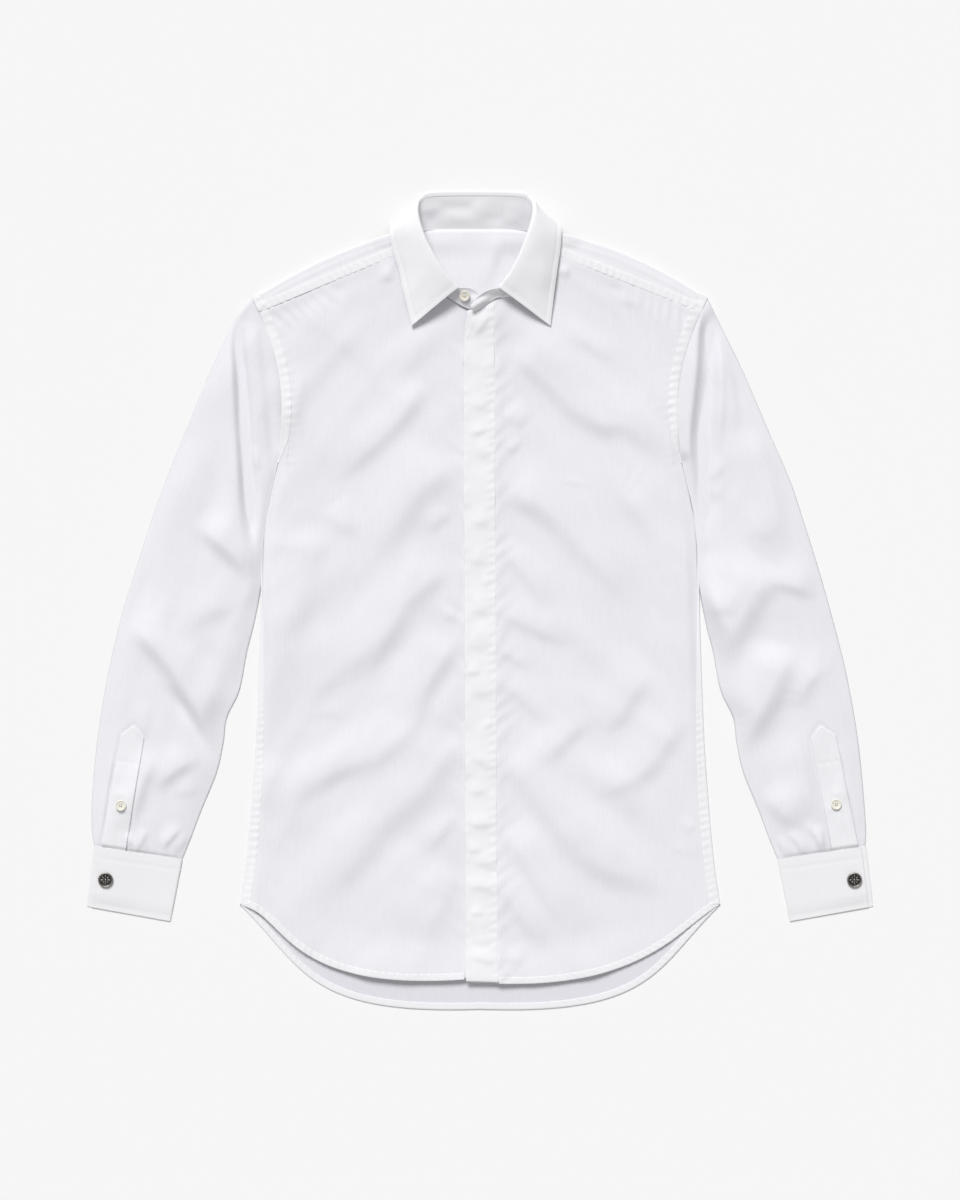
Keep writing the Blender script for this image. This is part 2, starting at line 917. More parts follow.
RIGHT_FRONT = creases(
    (5.5, 3.3, -82, 339, -89, 330, -87, 317), (16.1, 1.9, -190, 290, -165, 272, -131, 245, -100, 214),
    (16.1, 5, -50, 218, -72, 182, -109, 145, -147, 110),
    (11.5, 1.9, -172, 240, -177, 208, -179, 185, -186, 158),
    (13.8, 2.2, -163, 92, -154, 81, -131, 68, -111, 74),
    (25.3, 3.8, -159, 80, -159, 45, -177, -10, -200, -87, -218, -141),
    (19.3, 4.8, -20, 140, -36, 122, -63, 95, -86, 55, -104, 27), (7.4, 1.5, -22, 90, -40, 76, -50, 64),
    (17.5, 4.6, -22, 32, -63, 0, -79, -23, -100, -60, -113, -92), (7.4, 1.2, -22, -14, -36, -23),
    (17.5, 5, -18, -36, -50, -92, -63, -128, -81, -146, -109, -165, -140, -176, -172, -196, -190, -233,
     -222, -265),
    (8.3, 0.8, -177, -123, -154, -115, -131, -123), (17.5, 2.6, -190, -155, -209, -200, -220, -218),
    (25.3, 6, -18, -136, -50, -192, -72, -210, -95, -230, -118, -265, -145, -292, -168, -324),
    (10.1, 2.2, -18, -210, -31, -228, -50, -256), (18.4, 4.6, -18, -265, -31, -300, -45, -324, -61, -350),
)
LEFT_FRONT = creases(
    (18.1, 5.7, 23, 250, 69, 209, 91, 186, 119, 170, 141, 168, 160, 155, 182, 125),
    (5.2, 3.5, 84, 340, 89, 331, 84, 320), (12.9, 2.3, 73, 268, 110, 250, 141, 227),
    (7.7, 1.3, 132, 300, 164, 291), (9.5, 1.8, 21, 190, 41, 168), (6.9, 1.4, 21, 155, 37, 145),
    (19.4, 5.5, 18, 104, 40, 95, 60, 85, 79, 69, 100, 45, 123, 18, 146, -18),
    (21.5, 4, 125, 104, 141, 98, 160, 77, 173, 45, 182, 9, 200, -64, 214, -92),
    (12.9, 3.2, 10, 54, 30, 36, 48, 14, 64, -14), (11.5, 2.4, 8, -10, 36, -24, 66, -38, 98, -48),
    (7.5, 1.5, 8, -46, 28, -58, 52, -74), (10.8, 2.2, 8, -80, 28, -90, 48, -108, 70, -132),
    (16, 3.8, 176, -74, 157, -96, 142, -121, 118, -143), (14, 3.6, 118, -116, 98, -134, 76, -154, 60, -172),
    (17, 4, 216, -124, 200, -134, 186, -152, 172, -172, 152, -185, 128, -194, 100, -199),
    (22.4, 6.3, 19, -155, 41, -182, 64, -218, 91, -250, 119, -273, 150, -284, 187, -295, 214, -300),
    (16.3, 5, 19, -227, 37, -255, 55, -286, 73, -314, 91, -341, 105, -355),
    (12.9, 2.8, 8, -272, 26, -302, 46, -332, 58, -358), (7.7, 1.5, 21, -355, 41, -368),
    (9.5, 1.8, 187, -250, 205, -255, 223, -264), (6.9, 1.1, 219, -223, 205, -236),
    (2.4, 0.5, 77, 117.5, 95, 116, 112, 113.5),
)
RIGHT_SLEEVE = creases(
    (9, 2.4, -224, 290, -219, 240, -214, 190, -212, 140),
    (6, -8, -240, 292, -242, 254, -238, 219, -235, 169, -232, 119, -228, 69, -224, 14),
    (8, 4.2, -247, 290, -244, 220, -241, 150, -237, 80, -233, 30),
    (5, -1.8, -214, 192, -207, 160, -209, 128), (6, 1.4, -224, 156, -217, 128),
    (14, 6.5, -290, 76, -265, 54, -248, 39, -232, 14), (15.5, 2.4, -317, 99, -330, 54, -345, 14, -355, -20),
    (18, 2.4, -352, -18, -330, -26, -308, -34),
    (15, 8.2, -354, -26, -331, -49, -310, -74, -293, -101, -279, -128, -268, -154),
    (8, -3.4, -318, -80, -302, -102, -287, -125, -275, -148, -266, -170),
    (15.5, 2.2, -290, -45, -275, -20, -240, -8), (30, 2.4, -272, -25, -250, -60, -236, -92),
    (7, 1.2, -327, -95, -331, -120, -330, -145), (10, 3.4, -318, -148, -335, -190, -347, -235),
    (12, 4.6, -276, -158, -303, -175, -325, -194), (9, 1.4, -312, -197, -275, -192),
    (1.8, -1.8, -362, -148, -369, -187, -373, -216, -379, -262), (4, 1.6, -350, -230, -346, -247),
    (4.5, 1.9, -330, -228, -338, -245, -341, -256), (5, 2.4, -295, -226, -306, -238, -318, -252),
    (4.5, 2.4, -287, -232, -294, -243, -303, -256),
)
LEFT_SLEEVE = creases(
    (7, 5.5, 226, 298, 221, 269, 218, 225, 213, 178, 212, 140, 215, 100),
    (9.5, -7.5, 231, 296, 231, 262, 229, 215, 225, 168, 224, 105, 228, 39, 221, -22),
    (7, 3, 238, 285, 241, 262, 244, 219, 241, 159, 236, 130),
    (7, 1.8, 244, 282, 249, 250, 256, 200, 260, 150), (8, 1.8, 250, 138, 240, 128, 230, 112),
    (9, 1.2, 216, 104, 232, 104, 248, 100), (18, 2.2, 230, 98, 233, 70, 238, 42),
    (10, 1, 262, 72, 278, 64, 292, 54), (18, 4, 285, 180, 292, 139, 300, 99, 303, 59, 300, 24),
    (25, 10.5, 303, 30, 291, 14, 278, -6, 262, -34, 241, -78), (12, 3.8, 338, -2, 319, 7, 300, 12, 282, 14),
    (11.5, 3.5, 223, -22, 240, -12, 256, -18),
    (21, 10, 318, -46, 305, -80, 290, -110, 275, -135, 264, -164),
    (11.5, 2.7, 326, -112, 328, -92, 340, -76, 352, -78),
    (11.5, 2.7, 315, -128, 325, -160, 335, -200, 346, -234), (15.5, 4.6, 275, -192, 295, -215, 322, -232),
    (6, 1.6, 366, -165, 369, -208), (1.8, -1.8, 359, -148, 367, -187, 372, -216, 378, -262),
    (4, 1.8, 340, -222, 346, -250), (4.5, 1.8, 322, -222, 334, -238, 339, -256),
    (4.5, 1.8, 305, -232, 316, -244, 322, -258), (4, 1.6, 294, -236, 302, -250, 306, -260),
)
BACK = creases(
    (16, 0.35, -150, 150, -90, 60, -60, -60), (16, 0.35, 140, 120, 90, 30, 70, -90),
    (18, 0.35, -160, -150, -60, -240, 40, -330), (16, 0.35, 150, -170, 90, -260, 20, -350),
)
LEAF = creases((8, 0.6, -50, 330, -62, 305, -66, 290), (7, 0.8, 62, 345, 66, 318, 60, 300))
FLY = creases(
    (5, -1.2, -3, 286, -7, 272, -12, 258, -16, 244), (6, 1.8, 12, 290, 6, 276, -2, 266, -8, 258),
    (9, 1.1, -16, 240, 0, 232, 14, 222), (7, 1.1, -16, 196, 0, 191, 14, 198),
    (5, 1.4, -16, 166, -4, 165, 12, 172), (7, 1, -4, 140, 6, 143, 16, 148),
    (8, 1.2, -15, 78, 2, 74, 15, 82), (7, 1.1, -15, 40, -2, 36, 10, 40), (7, 1, -2, 18, 8, 15, 16, 20),
    (9, 1.4, -15, -10, 2, -15, 15, -8), (7, 1, -15, -46, -4, -48, 8, -54),
    (5, 1.4, -15, -73, -6, -74, 3, -72), (8, 1.2, -14, -98, 2, -94, 15, -101),
    (7, 1.1, 0, -124, 8, -127, 16, -122), (8, 1.5, -16, -158, 0, -163, 15, -174),
    (6, 1.2, -16, -192, -4, -194, 9, -190), (6, 1.4, -16, -223, 2, -227, 15, -220),
    (5, 1.3, -16, -250, -6, -252, 4, -249), (6, 1.4, -8, -268, 4, -265, 16, -271),
    (6, 1.3, -15, -291, 2, -288, 16, -296), (5, 1.3, -14, -312, -4, -315, 8, -312),
    (7, 1.3, -14, -339, 4, -344, 17, -337), (6, 1.4, -14, -358, 2, -361, 17, -366),
)


# ---- the body


@dataclass
class Body:
    """The two fronts and the back, and what shapes them."""

    wardrobe: Wardrobe
    cloth: float = 0.5
    ease: float = 1.8
    deepest: float = 1.1
    seam_level: float = 0.8
    ease_edge: float = 13.0
    under_fly: float = 9.0
    under_yoke: float = 6.0
    hem_width: float = 6.6
    hem_wall: float = 1.1
    hem_lift: float = 3.6
    hem_lift_reach: float = 46.0
    hem_lift_ends: Point = (222.0, 196.0)
    hem_lift_fade: float = 140.0
    fly_rise: float = 1.75
    fly_rise_reach: float = 11.0
    yoke_rise: float = 0.95
    yoke_rise_reach: float = 11.0
    neck_lift: float = 4.2
    neck_lift_at: Point = (2.0, 288.0)
    neck_lift_reach: float = 24.0
    gathers: list[Pucker] = field(default_factory=list)
    lie: Lie = field(init=False)
    calm: Lie = field(init=False)

    def __post_init__(self) -> None:
        """Gather what shapes the fronts."""
        puckers = []
        for side in Side:
            arm = mirrored(CUT.armhole(np.linspace(0.06, 1.0, 30)), side)
            puckers.append(Pucker(beside(arm, -side.value * 10.5), 0.3, 8.6, 6.0, 0.3))
            puckers.append(Pucker(CUT.front_hem(side)[::4], height=0.22, reach=11.0, slant=0.4))
            seam = CUT.yoke_seam(side, np.linspace(0.05, 0.5, 6))
            self.gathers.append(Pucker(beside(seam, side.value * 13.0), 0.75, 10.5, 11.0, 0.35))
        stitch = np.array(CUT.fly_stitch)
        puckers.append(Pucker(stitch, 0.2, 9.0, 7.5, 1.4))
        puckers.append(Pucker(stitch, 0.42, 21.0, 17.0, 1.0))
        puckers.append(Pucker(CUT.fly_edge, 0.3, 26.0, 15.0, -1.0))
        broad = Undulation(3, 62.0, 0.7)
        details = [
            *puckers, broad, Undulation(5, 27.0, 0.2), Undulation(8, 12.0, 0.04),
            Drape(13, -43.0, 115.0, 25.0, 0.75), Drape(17, -56.0, 80.0, 13.0, 0.2),
        ]
        self.lie = Lie((*RIGHT_FRONT, *LEFT_FRONT), details, most=8.0)
        self.calm = Lie(self.lie.creases, [broad], most=8.0)

    def fullness(self, plan: Array) -> Array:
        """Share of the ease that the fronts have: none along the side seams."""
        x, y = np.abs(plan[..., 0]), plan[..., 1]
        inside = smooth_step((CUT.half_width(y) - x) / self.ease_edge)
        return inside + (1.0 - inside) * smooth_step((y - CUT.armpit[1]) / 40.0)

    def hem_rise(self, plan: Array) -> Array:
        """How far the front's hem stands off the back."""
        x, y = np.abs(plan[..., 0]), plan[..., 1]
        hem = CUT.front_hem(Side.LEFT)
        hem_y = np.interp(x, hem[::-1, 0], hem[::-1, 1])
        near = smooth_step(1.0 - (y - hem_y) / self.hem_lift_reach)
        fade = np.where(plan[..., 0] < 0.0, *self.hem_lift_ends)
        return self.hem_lift * near * smooth_step((fade - x) / self.hem_lift_fade)

    def neck_rise(self, plan: Array) -> Array:
        """How far the open neck lifts the left front and the fly."""
        away = np.linalg.norm(plan - np.array(self.neck_lift_at), axis=-1)
        return self.neck_lift * bell(away / self.neck_lift_reach)

    def front_top(self, plan: Array, calm: bool = False) -> Array:
        """Height of the outside of the fronts, without the open neck's lift.

        Args:
            plan: Plan points.
            calm: Leave out the ripples and keep only the broad folds.

        Returns:
            The heights.
        """
        lift = (self.calm if calm else self.lie).lift(plan)
        lift = np.where(lift > 0.0, lift, self.deepest * np.tanh(lift / self.deepest))
        near = 0.0
        for side in Side:
            _, away = follow(CUT.yoke_seam(side, evenly(2)), plan)
            near = near + bell(away / self.yoke_rise_reach)
        lift = lift * (1.0 - 0.92 * near) + self.yoke_rise * near**2
        lift = lift + sum(gather.lift(plan) for gather in self.gathers)
        return self.seam_level + self.fullness(plan) * (self.ease + lift) + self.hem_rise(plan) + self.cloth

    def fly_bed(self, plan: Array) -> Array:
        """Height of the cloth that the fly lies on."""
        return self.front_top(plan) + self.neck_rise(plan)

    def left_front_top(self, plan: Array) -> Array:
        """Height of the outside of the left front, which turns up into the fly."""
        (x0, y0), (x1, y1) = CUT.fly_stitch
        past = plan[..., 0] - (x0 + (x1 - x0) * (plan[..., 1] - y0) / (y1 - y0))
        reach = np.where(past > 0.0, self.fly_rise_reach, 0.9)
        return self.fly_bed(plan) + self.fly_rise * bell(past / reach)

    def outside(self, side: Side) -> Height:
        """Height of the outside of one front."""
        return self.front_top if side is Side.RIGHT else self.left_front_top

    def neck_line(self, side: Side) -> Array:
        """The neck seam on one side, from the front yoke seam to the front."""
        start = CUT.yoke_seam(side, [1.0])
        stations = [(collar_axis(y) + side.value * x, y) for x, y, *_ in COLLAR.stations[8:]]
        ends = [row[:2] for row in COLLAR.ends(side)]
        return catmull([*start, *stations, *ends], 6) - np.array([0.0, 0.3])

    def make_front(self, side: Side) -> Piece:
        """A front panel, from the yoke seam and neck to the hem, over the back."""
        rows = (60, 196)
        columns = 104
        outer = mirrored(CUT.body_edge(CUT.front_yoke_share, *rows), side)
        neck = self.neck_line(side)[::-1]
        hem = CUT.front_hem(side)
        if side is Side.RIGHT:
            inner_top = np.array([self.under_fly, neck[0, 1] - 2.0])
            inner_foot = np.array([self.under_fly, hem[-1, 1]])
        else:
            inner_top = np.array([CUT.fly_stitch[0][0] - 3.0, 300.5])
            inner_foot = np.array([CUT.fly_stitch[1][0] - 3.0, hem[-1, 1]])
            neck = neck[12:]
        under = np.array([0.0, self.under_yoke])
        steps = np.minimum(1.0, 0.22 * 1.13 ** np.arange(columns))
        shares = np.concatenate([[0.0], np.cumsum(steps)]) / steps.sum()
        top = resample(np.vstack([inner_top, neck[:-2], neck[-1] + under, outer[0] + under]), shares)
        keep = side.value * (hem[:, 0] - inner_foot[0]) > 1.0
        foot = resample(np.vstack([inner_foot, hem[keep][::-1]]), shares)
        outer = np.vstack([top[-1], outer[1:]])
        start = resample(np.vstack([top[0], foot[0]]), sum(rows))
        net = coons(top, foot, start, outer)
        cloth = self.wardrobe.shirting
        piece = slab(f"front_{side.word}_cloth", net, self.outside(side), self.cloth, cloth)
        return declare(piece, Slot.SHIRTING, f"front_{side.word}")

    def make_back(self) -> Piece:
        """The back panel, flat on the table from the yoke seam to the hem."""
        edge = CUT.body_edge(CUT.back_yoke_share, 36, 124)
        left, right = mirrored(edge, Side.LEFT), mirrored(edge, Side.RIGHT)
        hem = bezier(CUT.back_hem, 80)
        foot = resample(np.vstack([mirrored(hem, Side.RIGHT), hem[::-1][1:]]), 150)
        top = resample(np.vstack([right[0], left[0]]), 150)
        net = coons(top, foot, right, left)
        lie = Lie(BACK, [Undulation(11, 40.0, 0.1)], most=0.6)

        def level(plan: Array) -> Array:
            """Height of the back's inside."""
            near_hem = smooth_step((plan[..., 1] + 300.0) / 40.0)
            return self.cloth + 0.1 + np.maximum(0.0, lie.lift(plan)) * near_hem

        piece = slab("back_cloth", net, level, self.cloth, self.wardrobe.inside)
        return declare(piece, Slot.SHIRTING, "back")


@dataclass(frozen=True)
class CollarCut:
    """Stations of the collar from the centre back to the front, as half widths.

    The stand runs from base to roll and the leaf from roll to edge. Columns: base x, y, z;
    roll x, y, z; edge x, y, z; and how far the leaf tucks under the back of the neck.
    """

    stations: Table = (
        (0, 369.9, 2.7, 0, 408.7, 10.5, 0, 364.5, 0.35, 1),
        (28, 369.9, 2.8, 29, 408.4, 11, 31, 365, 0.35, 1),
        (46, 369.2, 3.3, 48, 406.6, 13.5, 58, 366, 0.4, 0.95),
        (52.5, 367.9, 4, 53, 403, 13.8, 74, 367, 0.45, 0.75),
        (56, 367, 4.9, 55.2, 400, 15.2, 82, 372.5, 0.9, 0.5),
        (58.5, 365, 5.8, 56, 397, 16.6, 85.5, 371, 4.8, 0.3),
        (63.5, 358.5, 6.4, 56, 387, 18.8, 85.5, 362, 8.2, 0.1),
        (66, 348, 6.8, 52, 371, 21.6, 83.5, 348, 7.4, 0),
        (61, 334, 6.6, 43.5, 349.5, 22, 79, 328.5, 7.2, 0),
        (50, 320, 6.4, 31.5, 328, 20, 74.3, 302.5, 7.2, 0),
        (37, 308, 6.2, 19.5, 313.8, 16.5, 69.3, 273.8, 7, 0),
    )
    right_ends: Table = (
        (-28, 300.5, 5.6, -12.5, 311.8, 12),
        (-14, 292, 4.9, -4.5, 308.5, 9.8),
        (-3.5, 289.5, 4.6, 0.8, 302, 8.2),
    )
    left_ends: Table = (
        (22, 304, 7, 9.5, 309.8, 15),
        (9.4, 298, 8, -1.5, 303.6, 14.6),
        (-6.6, 287.5, 8.8, -9.6, 293.4, 13.6),
    )

    def ends(self, side: Side) -> Table:
        """Base and top of the stand's end past the leaf, on one side."""
        return self.right_ends if side is Side.RIGHT else self.left_ends

    def rows(self, per_step: int) -> list[tuple[Vector, Vector, Vector, float]]:
        """Base, roll, edge and tuck from the leaf's right end round to its left end."""
        half = catmull(self.stations, per_step)
        made = []
        for side, stations in ((Side.RIGHT, half[::-1]), (Side.LEFT, half[1:])):
            for row in stations:
                places = []
                for x, y, z in (row[:3], row[3:6], row[6:9]):
                    places.append(Vector((collar_axis(y) + side.value * x, y, z)))
                made.append((*places, float(row[9])))
        return made


COLLAR = CollarCut()


@dataclass
class Yoke:
    """The yoke: flat across the back, folded over each shoulder to the front seam."""

    wardrobe: Wardrobe
    cloth: float = 0.7
    top_level: float = 3.9
    leaf_level: float = 2.4
    over_leaf: float = 2.9
    leaf_reach: Triple = (94.0, 363.0, 22.0)
    neck_half_width: float = 42.0
    neck_seam_y: float = 368.0
    shoulder_columns: int = 70
    back_columns: int = 60
    lie: Lie = field(init=False)
    inside: Lie = field(init=False)

    def __post_init__(self) -> None:
        """Gather what shapes the strip in front of the shoulder."""
        details: list[Undulation | Pucker | Welt] = [Undulation(21, 30.0, 0.3), Undulation(23, 12.0, 0.12)]
        for side in Side:
            seam = CUT.yoke_seam(side, evenly(8))
            details.append(Welt(seam, 9.0, 0.4))
            details.append(Pucker(seam, 0.3, 7.8, 10.0, 0.2))
            fold = CUT.shoulder_fold(side, np.linspace(0.1, 0.9, 8)) - np.array([0.0, 9.0])
            details.append(Welt(fold, 2.5, 0.25))
        self.lie = Lie((), details)
        fold = Crease(((27, 372), (21, 353), (15, 334), (8, 310)), 7, 1.6)
        self.inside = Lie((fold,), [Undulation(25, 22.0, 0.34)])

    def in_neck(self, plan: Array) -> Array:
        """Height of the soft creases that show through the open neck."""
        away = np.abs(plan[..., 0] - collar_axis(plan[..., 1])) - self.neck_half_width
        within = (1.0 - smooth_step(away / 14.0)) * smooth_step((self.neck_seam_y - plan[..., 1]) / 12.0)
        return np.maximum(0.0, 0.6 + self.inside.lift(plan)) * within

    def under_leaf(self, plan: Array) -> Array:
        """Height of the yoke's outside where the leaf is tucked under the neck."""
        half_width, foot_y, fade = self.leaf_reach
        beyond = np.maximum(0.0, np.abs(plan[..., 0] - collar_axis(foot_y)) - half_width)
        below = np.maximum(0.0, foot_y - plan[..., 1])
        return self.leaf_level * smooth_step(1.0 - np.hypot(beyond, below) / fade)

    def strip_top(self, plan: Array) -> Array:
        """Height of the strip in front of the shoulder fold."""
        level = np.maximum(self.top_level, self.under_leaf(plan) + self.over_leaf)
        return level + self.lie.lift(plan)

    def column(self, foot: Array, turn: Array, seam: Array | None) -> Array:
        """Points of the yoke's outside from its foot up to the neck or over a fold."""
        flat = resample(np.vstack([foot, turn]), 24)
        low = self.under_leaf(flat) + self.in_neck(flat)
        points = np.column_stack([flat, low])
        if seam is None:
            return points
        heading = unit(turn - foot)
        strip = resample(np.vstack([turn - heading * 2.0, seam]), 14)
        strip_z = self.strip_top(strip)
        radius = (strip_z[0] - low[-1]) / 2
        middle = turn - heading * radius
        turns = np.linspace(-math.pi / 2, math.pi / 2, 9)[:, None]
        arc = middle + heading * np.cos(turns) * radius
        arc_z = low[-1] + radius * (1.0 + np.sin(turns[:, 0]))
        ease = np.clip(np.arange(len(strip)) / 3.0, 0.0, 1.0)
        strip_z = arc_z[-1] * (1 - ease) + strip_z * ease
        held = resample(points[(flat - middle) @ heading < -0.3], 21)
        return np.vstack([held, np.column_stack([arc, arc_z]), np.column_stack([strip, strip_z])[1:]])

    def make(self) -> Piece:
        """The whole yoke as one folded shell."""
        corner = CUT.armhole([CUT.back_yoke_share])[0]
        foot_y = corner[1] + 0.3
        grids = []
        for side in Side:
            share = evenly(self.shoulder_columns + 1)
            folds = CUT.shoulder_fold(side, share)
            seams = CUT.yoke_seam(side, share)
            feet_x = side.value * corner[0] * (1 - share) + folds[:, 0] * share
            feet = np.column_stack([feet_x, np.full(len(share), foot_y)])
            grids.append(np.array([self.column(*row) for row in zip(feet, folds, seams)]))
        half = catmull([row[:2] for row in COLLAR.stations[:7]], 6)
        line = np.vstack([mirrored(half[::-1], Side.RIGHT), half[1:]])
        line = resample(line, self.back_columns)
        middle = []
        for x, y in line:
            neck = np.array([collar_axis(y) + x, y + 0.7])
            middle.append(self.column(np.array([neck[0], foot_y]), neck, None))
        grids.append(np.array(middle))
        return self.join(grids)

    def join(self, grids: list[Array]) -> Piece:
        """Join the two shoulders and the back into one piece of cloth."""
        points, faces, places = [], [], []
        for grid in grids:
            start = sum(len(part) for part in points)
            rightward = bool(grid[-1, 0, 0] > grid[0, 0, 0])
            faces += grid_faces(numbered(*grid.shape[:2], start), flip=rightward)
            points.append(grid.reshape(-1, 3))
            places.append(np.dstack([grid[..., 0], runs(grid, 1)]).reshape(-1, 2))
        piece = make_piece("yoke_cloth", np.vstack(points), faces, self.wardrobe.lined, np.vstack(places))
        with reshaped(piece.data) as shape:
            bmesh.ops.remove_doubles(shape, verts=shape.verts, dist=0.4 * MM)
        wall_shell(piece, self.cloth)
        return declare(piece, Slot.SHIRTING, "yoke")


# ---- the seams


@dataclass
class Seams:
    """Narrow bands of folded, stitched cloth: hems, felled side seams and armholes."""

    wardrobe: Wardrobe
    body: Body
    yoke: Yoke
    step: float = 1.5

    def band(
        self, name: str, path: Array, width: float | Array, top: Height, wall: float, *nodes: str
    ) -> Piece:
        """A band along a path.

        Args:
            name: The object's name.
            path: Its outer edge in plan.
            width: Of the band, to the left of the path where it is above zero.
            top: Height of its upper side.
            wall: Its thickness.
            nodes: The solids that it belongs to.

        Returns:
            The band.
        """
        rows = int(lengths(path)[-1] / self.step)
        path = resample(path, rows)
        if not isinstance(width, float):
            width = np.interp(evenly(rows + 1), evenly(len(width)), width)
        net = between(path, beside(path, width), edged(5, 0.06))
        piece = slab(name, net, top, wall, self.wardrobe.doubled)
        return declare(piece, Slot.SHIRTING, *nodes)

    def body_top(self, plan: Array) -> Array:
        """Height of the body's outside: the yoke's strip above its seam, else the front."""
        side = np.where(plan[..., 0] < 0.0, -1.0, 1.0)
        tops = self.body.left_front_top(plan)
        for one in Side:
            seam = CUT.yoke_seam(one, evenly(2))
            slope = (seam[1, 1] - seam[0, 1]) / (seam[1, 0] - seam[0, 0])
            over = smooth_step((plan[..., 1] - seam[0, 1] - slope * (plan[..., 0] - seam[0, 0])) / 2.0)
            over = np.where(side == one.value, over, 0.0)
            tops = tops * (1 - over) + self.yoke.strip_top(plan) * over
        return tops

    def make_armhole(self, side: Side) -> Piece:
        """The topstitched allowance round the armhole, on the body's side."""
        path = mirrored(CUT.armhole(evenly(60)), side)
        pucker = Pucker(beside(path, -side.value * 10.0)[::3], 0.27, 8.6, 9.0, 0.2)
        width = -side.value * 10.2 * np.array([0.9, 1.0, 1.0, 1.0, 1.0, 1.0, 0.85, 0.15])
        top = Over(self.body_top, 0.4, pucker)
        outer = beside(path, side.value * 0.5)
        return self.band(f"armhole_{side.word}", outer, width, top, 0.75, f"front_{side.word}")

    def make_front_hem(self, side: Side) -> Piece:
        """The narrow folded hem of a front."""
        body, turn = self.body, side.value
        hem = CUT.front_hem(side)
        limit = CUT.fly_stitch[1][0] if side is Side.LEFT else -CUT.fly_edge[-1][0] - 6.0
        hem = hem[np.abs(hem[:, 0]) > limit]
        pucker = Pucker(beside(hem, turn * -body.hem_width)[::3], 0.26, 7.4, 6.0, 0.5)
        top = Over(body.outside(side), 0.3, pucker)
        outer, width = beside(hem, turn * 0.3), -turn * (body.hem_width + 0.3)
        name = f"front_hem_{side.word}"
        return self.band(name, outer, width, top, body.hem_wall, f"front_{side.word}")

    def make_back_hem(self) -> Piece:
        """The narrow folded hem of the back, seen from its inside."""
        whole = CUT.back_hem_line()
        pucker = Pucker(beside(whole, -6.5)[::4], 0.22, 7.6, 6.0, 0.5)
        top = Over(level_at(BACK_HEM_TOP), 0.0, pucker)
        return self.band("back_hem", beside(whole, 0.3), -6.8, top, 1.25, "back")

    def make_side_seam(self, side: Side) -> Piece:
        """The felled side seam, which turns into view towards the hem."""
        line = mirrored(CUT.side_line(), side)
        line = np.vstack([line[0] + (-0.9 * side.value, 2.2), line])
        path = resample(line, 200)
        width = side.value * np.array([0.8, 0.9, 1.2, 2.6, 4.6, 6.6, 8.6, 10.0, 10.6, 10.6])
        pucker = Pucker(beside(path, -side.value * 7.0)[::4], 0.3, 7.6, 7.0, 0.2)

        def top(plan: Array) -> Array:
            """Height of the seam."""
            ripple = pucker.lift(plan) * smooth_step((-60.0 - plan[..., 1]) / 60.0)
            return np.maximum(self.body.front_top(plan) + 0.3, 1.9) + ripple

        outer = beside(path, side.value * 0.6)
        return self.band(f"side_seam_{side.word}", outer, -width, top, 1.6, f"front_{side.word}")

    def make_yoke_edge(self, side: Side) -> Piece:
        """The doubled lower edge of the yoke's strip, topstitched over the front."""
        outer = beside(CUT.yoke_seam(side, np.linspace(0.02, 1.0, 40)), side.value * 0.3)
        top = Over(self.yoke.strip_top, 0.1)
        return self.band(f"yoke_edge_{side.word}", outer, -side.value * 9.0, top, 0.55, "yoke")


@dataclass
class Fly:
    """The covered placket down the centre, lapped over the right front."""

    wardrobe: Wardrobe
    body: Body
    wall: float = 1.5
    rows: int = 400
    columns: int = 20

    def top(self, plan: Array) -> Array:
        """Height of the fly's outside."""
        body = self.body
        details = [
            Pucker(beside(np.array(CUT.fly_stitch), -3.5), 0.26, 9.0, 5.0, 0.3),
            Pucker(CUT.fly_edge, 0.16, 13.0, 5.0, 0.4),
            Undulation(31, 17.0, 0.36),
            Undulation(35, 8.0, 0.07),
        ]
        own = Lie(FLY, details)
        bed = body.front_top(plan, calm=True) + body.neck_rise(plan)
        return bed + self.wall + 0.15 + own.lift(plan)

    def make(self) -> Piece:
        """The fly as a folded band."""
        left = resample(catmull(CUT.fly_edge, 8), self.rows)
        right = resample(np.array(CUT.fly_stitch), self.rows)
        net = between(left, right, edged(self.columns, 0.03))
        piece = slab("fly_placket_cloth", net, self.top, self.wall, self.wardrobe.doubled)
        return declare(piece, Slot.SHIRTING, "fly_placket")

    def make_under_ply(self) -> Piece:
        """The buttonhole ply, which shows where the outer ply twists away at the neck."""
        left = resample(np.array([(-13.0, 289.0), (-15.6, 268.0), (-17.0, 236.0)]), 40)
        right = resample(np.array([(2.0, 292.0), (-4.0, 268.0), (-8.0, 236.0)]), 40)
        net = between(left, right, edged(8, 0.05))
        top = Over(self.body.fly_bed, 0.75, Undulation(33, 9.0, 0.12))
        piece = slab("fly_under_cloth", net, top, 0.6, self.wardrobe.doubled)
        return declare(piece, Slot.SHIRTING, "fly_placket")


# ---- the sleeves


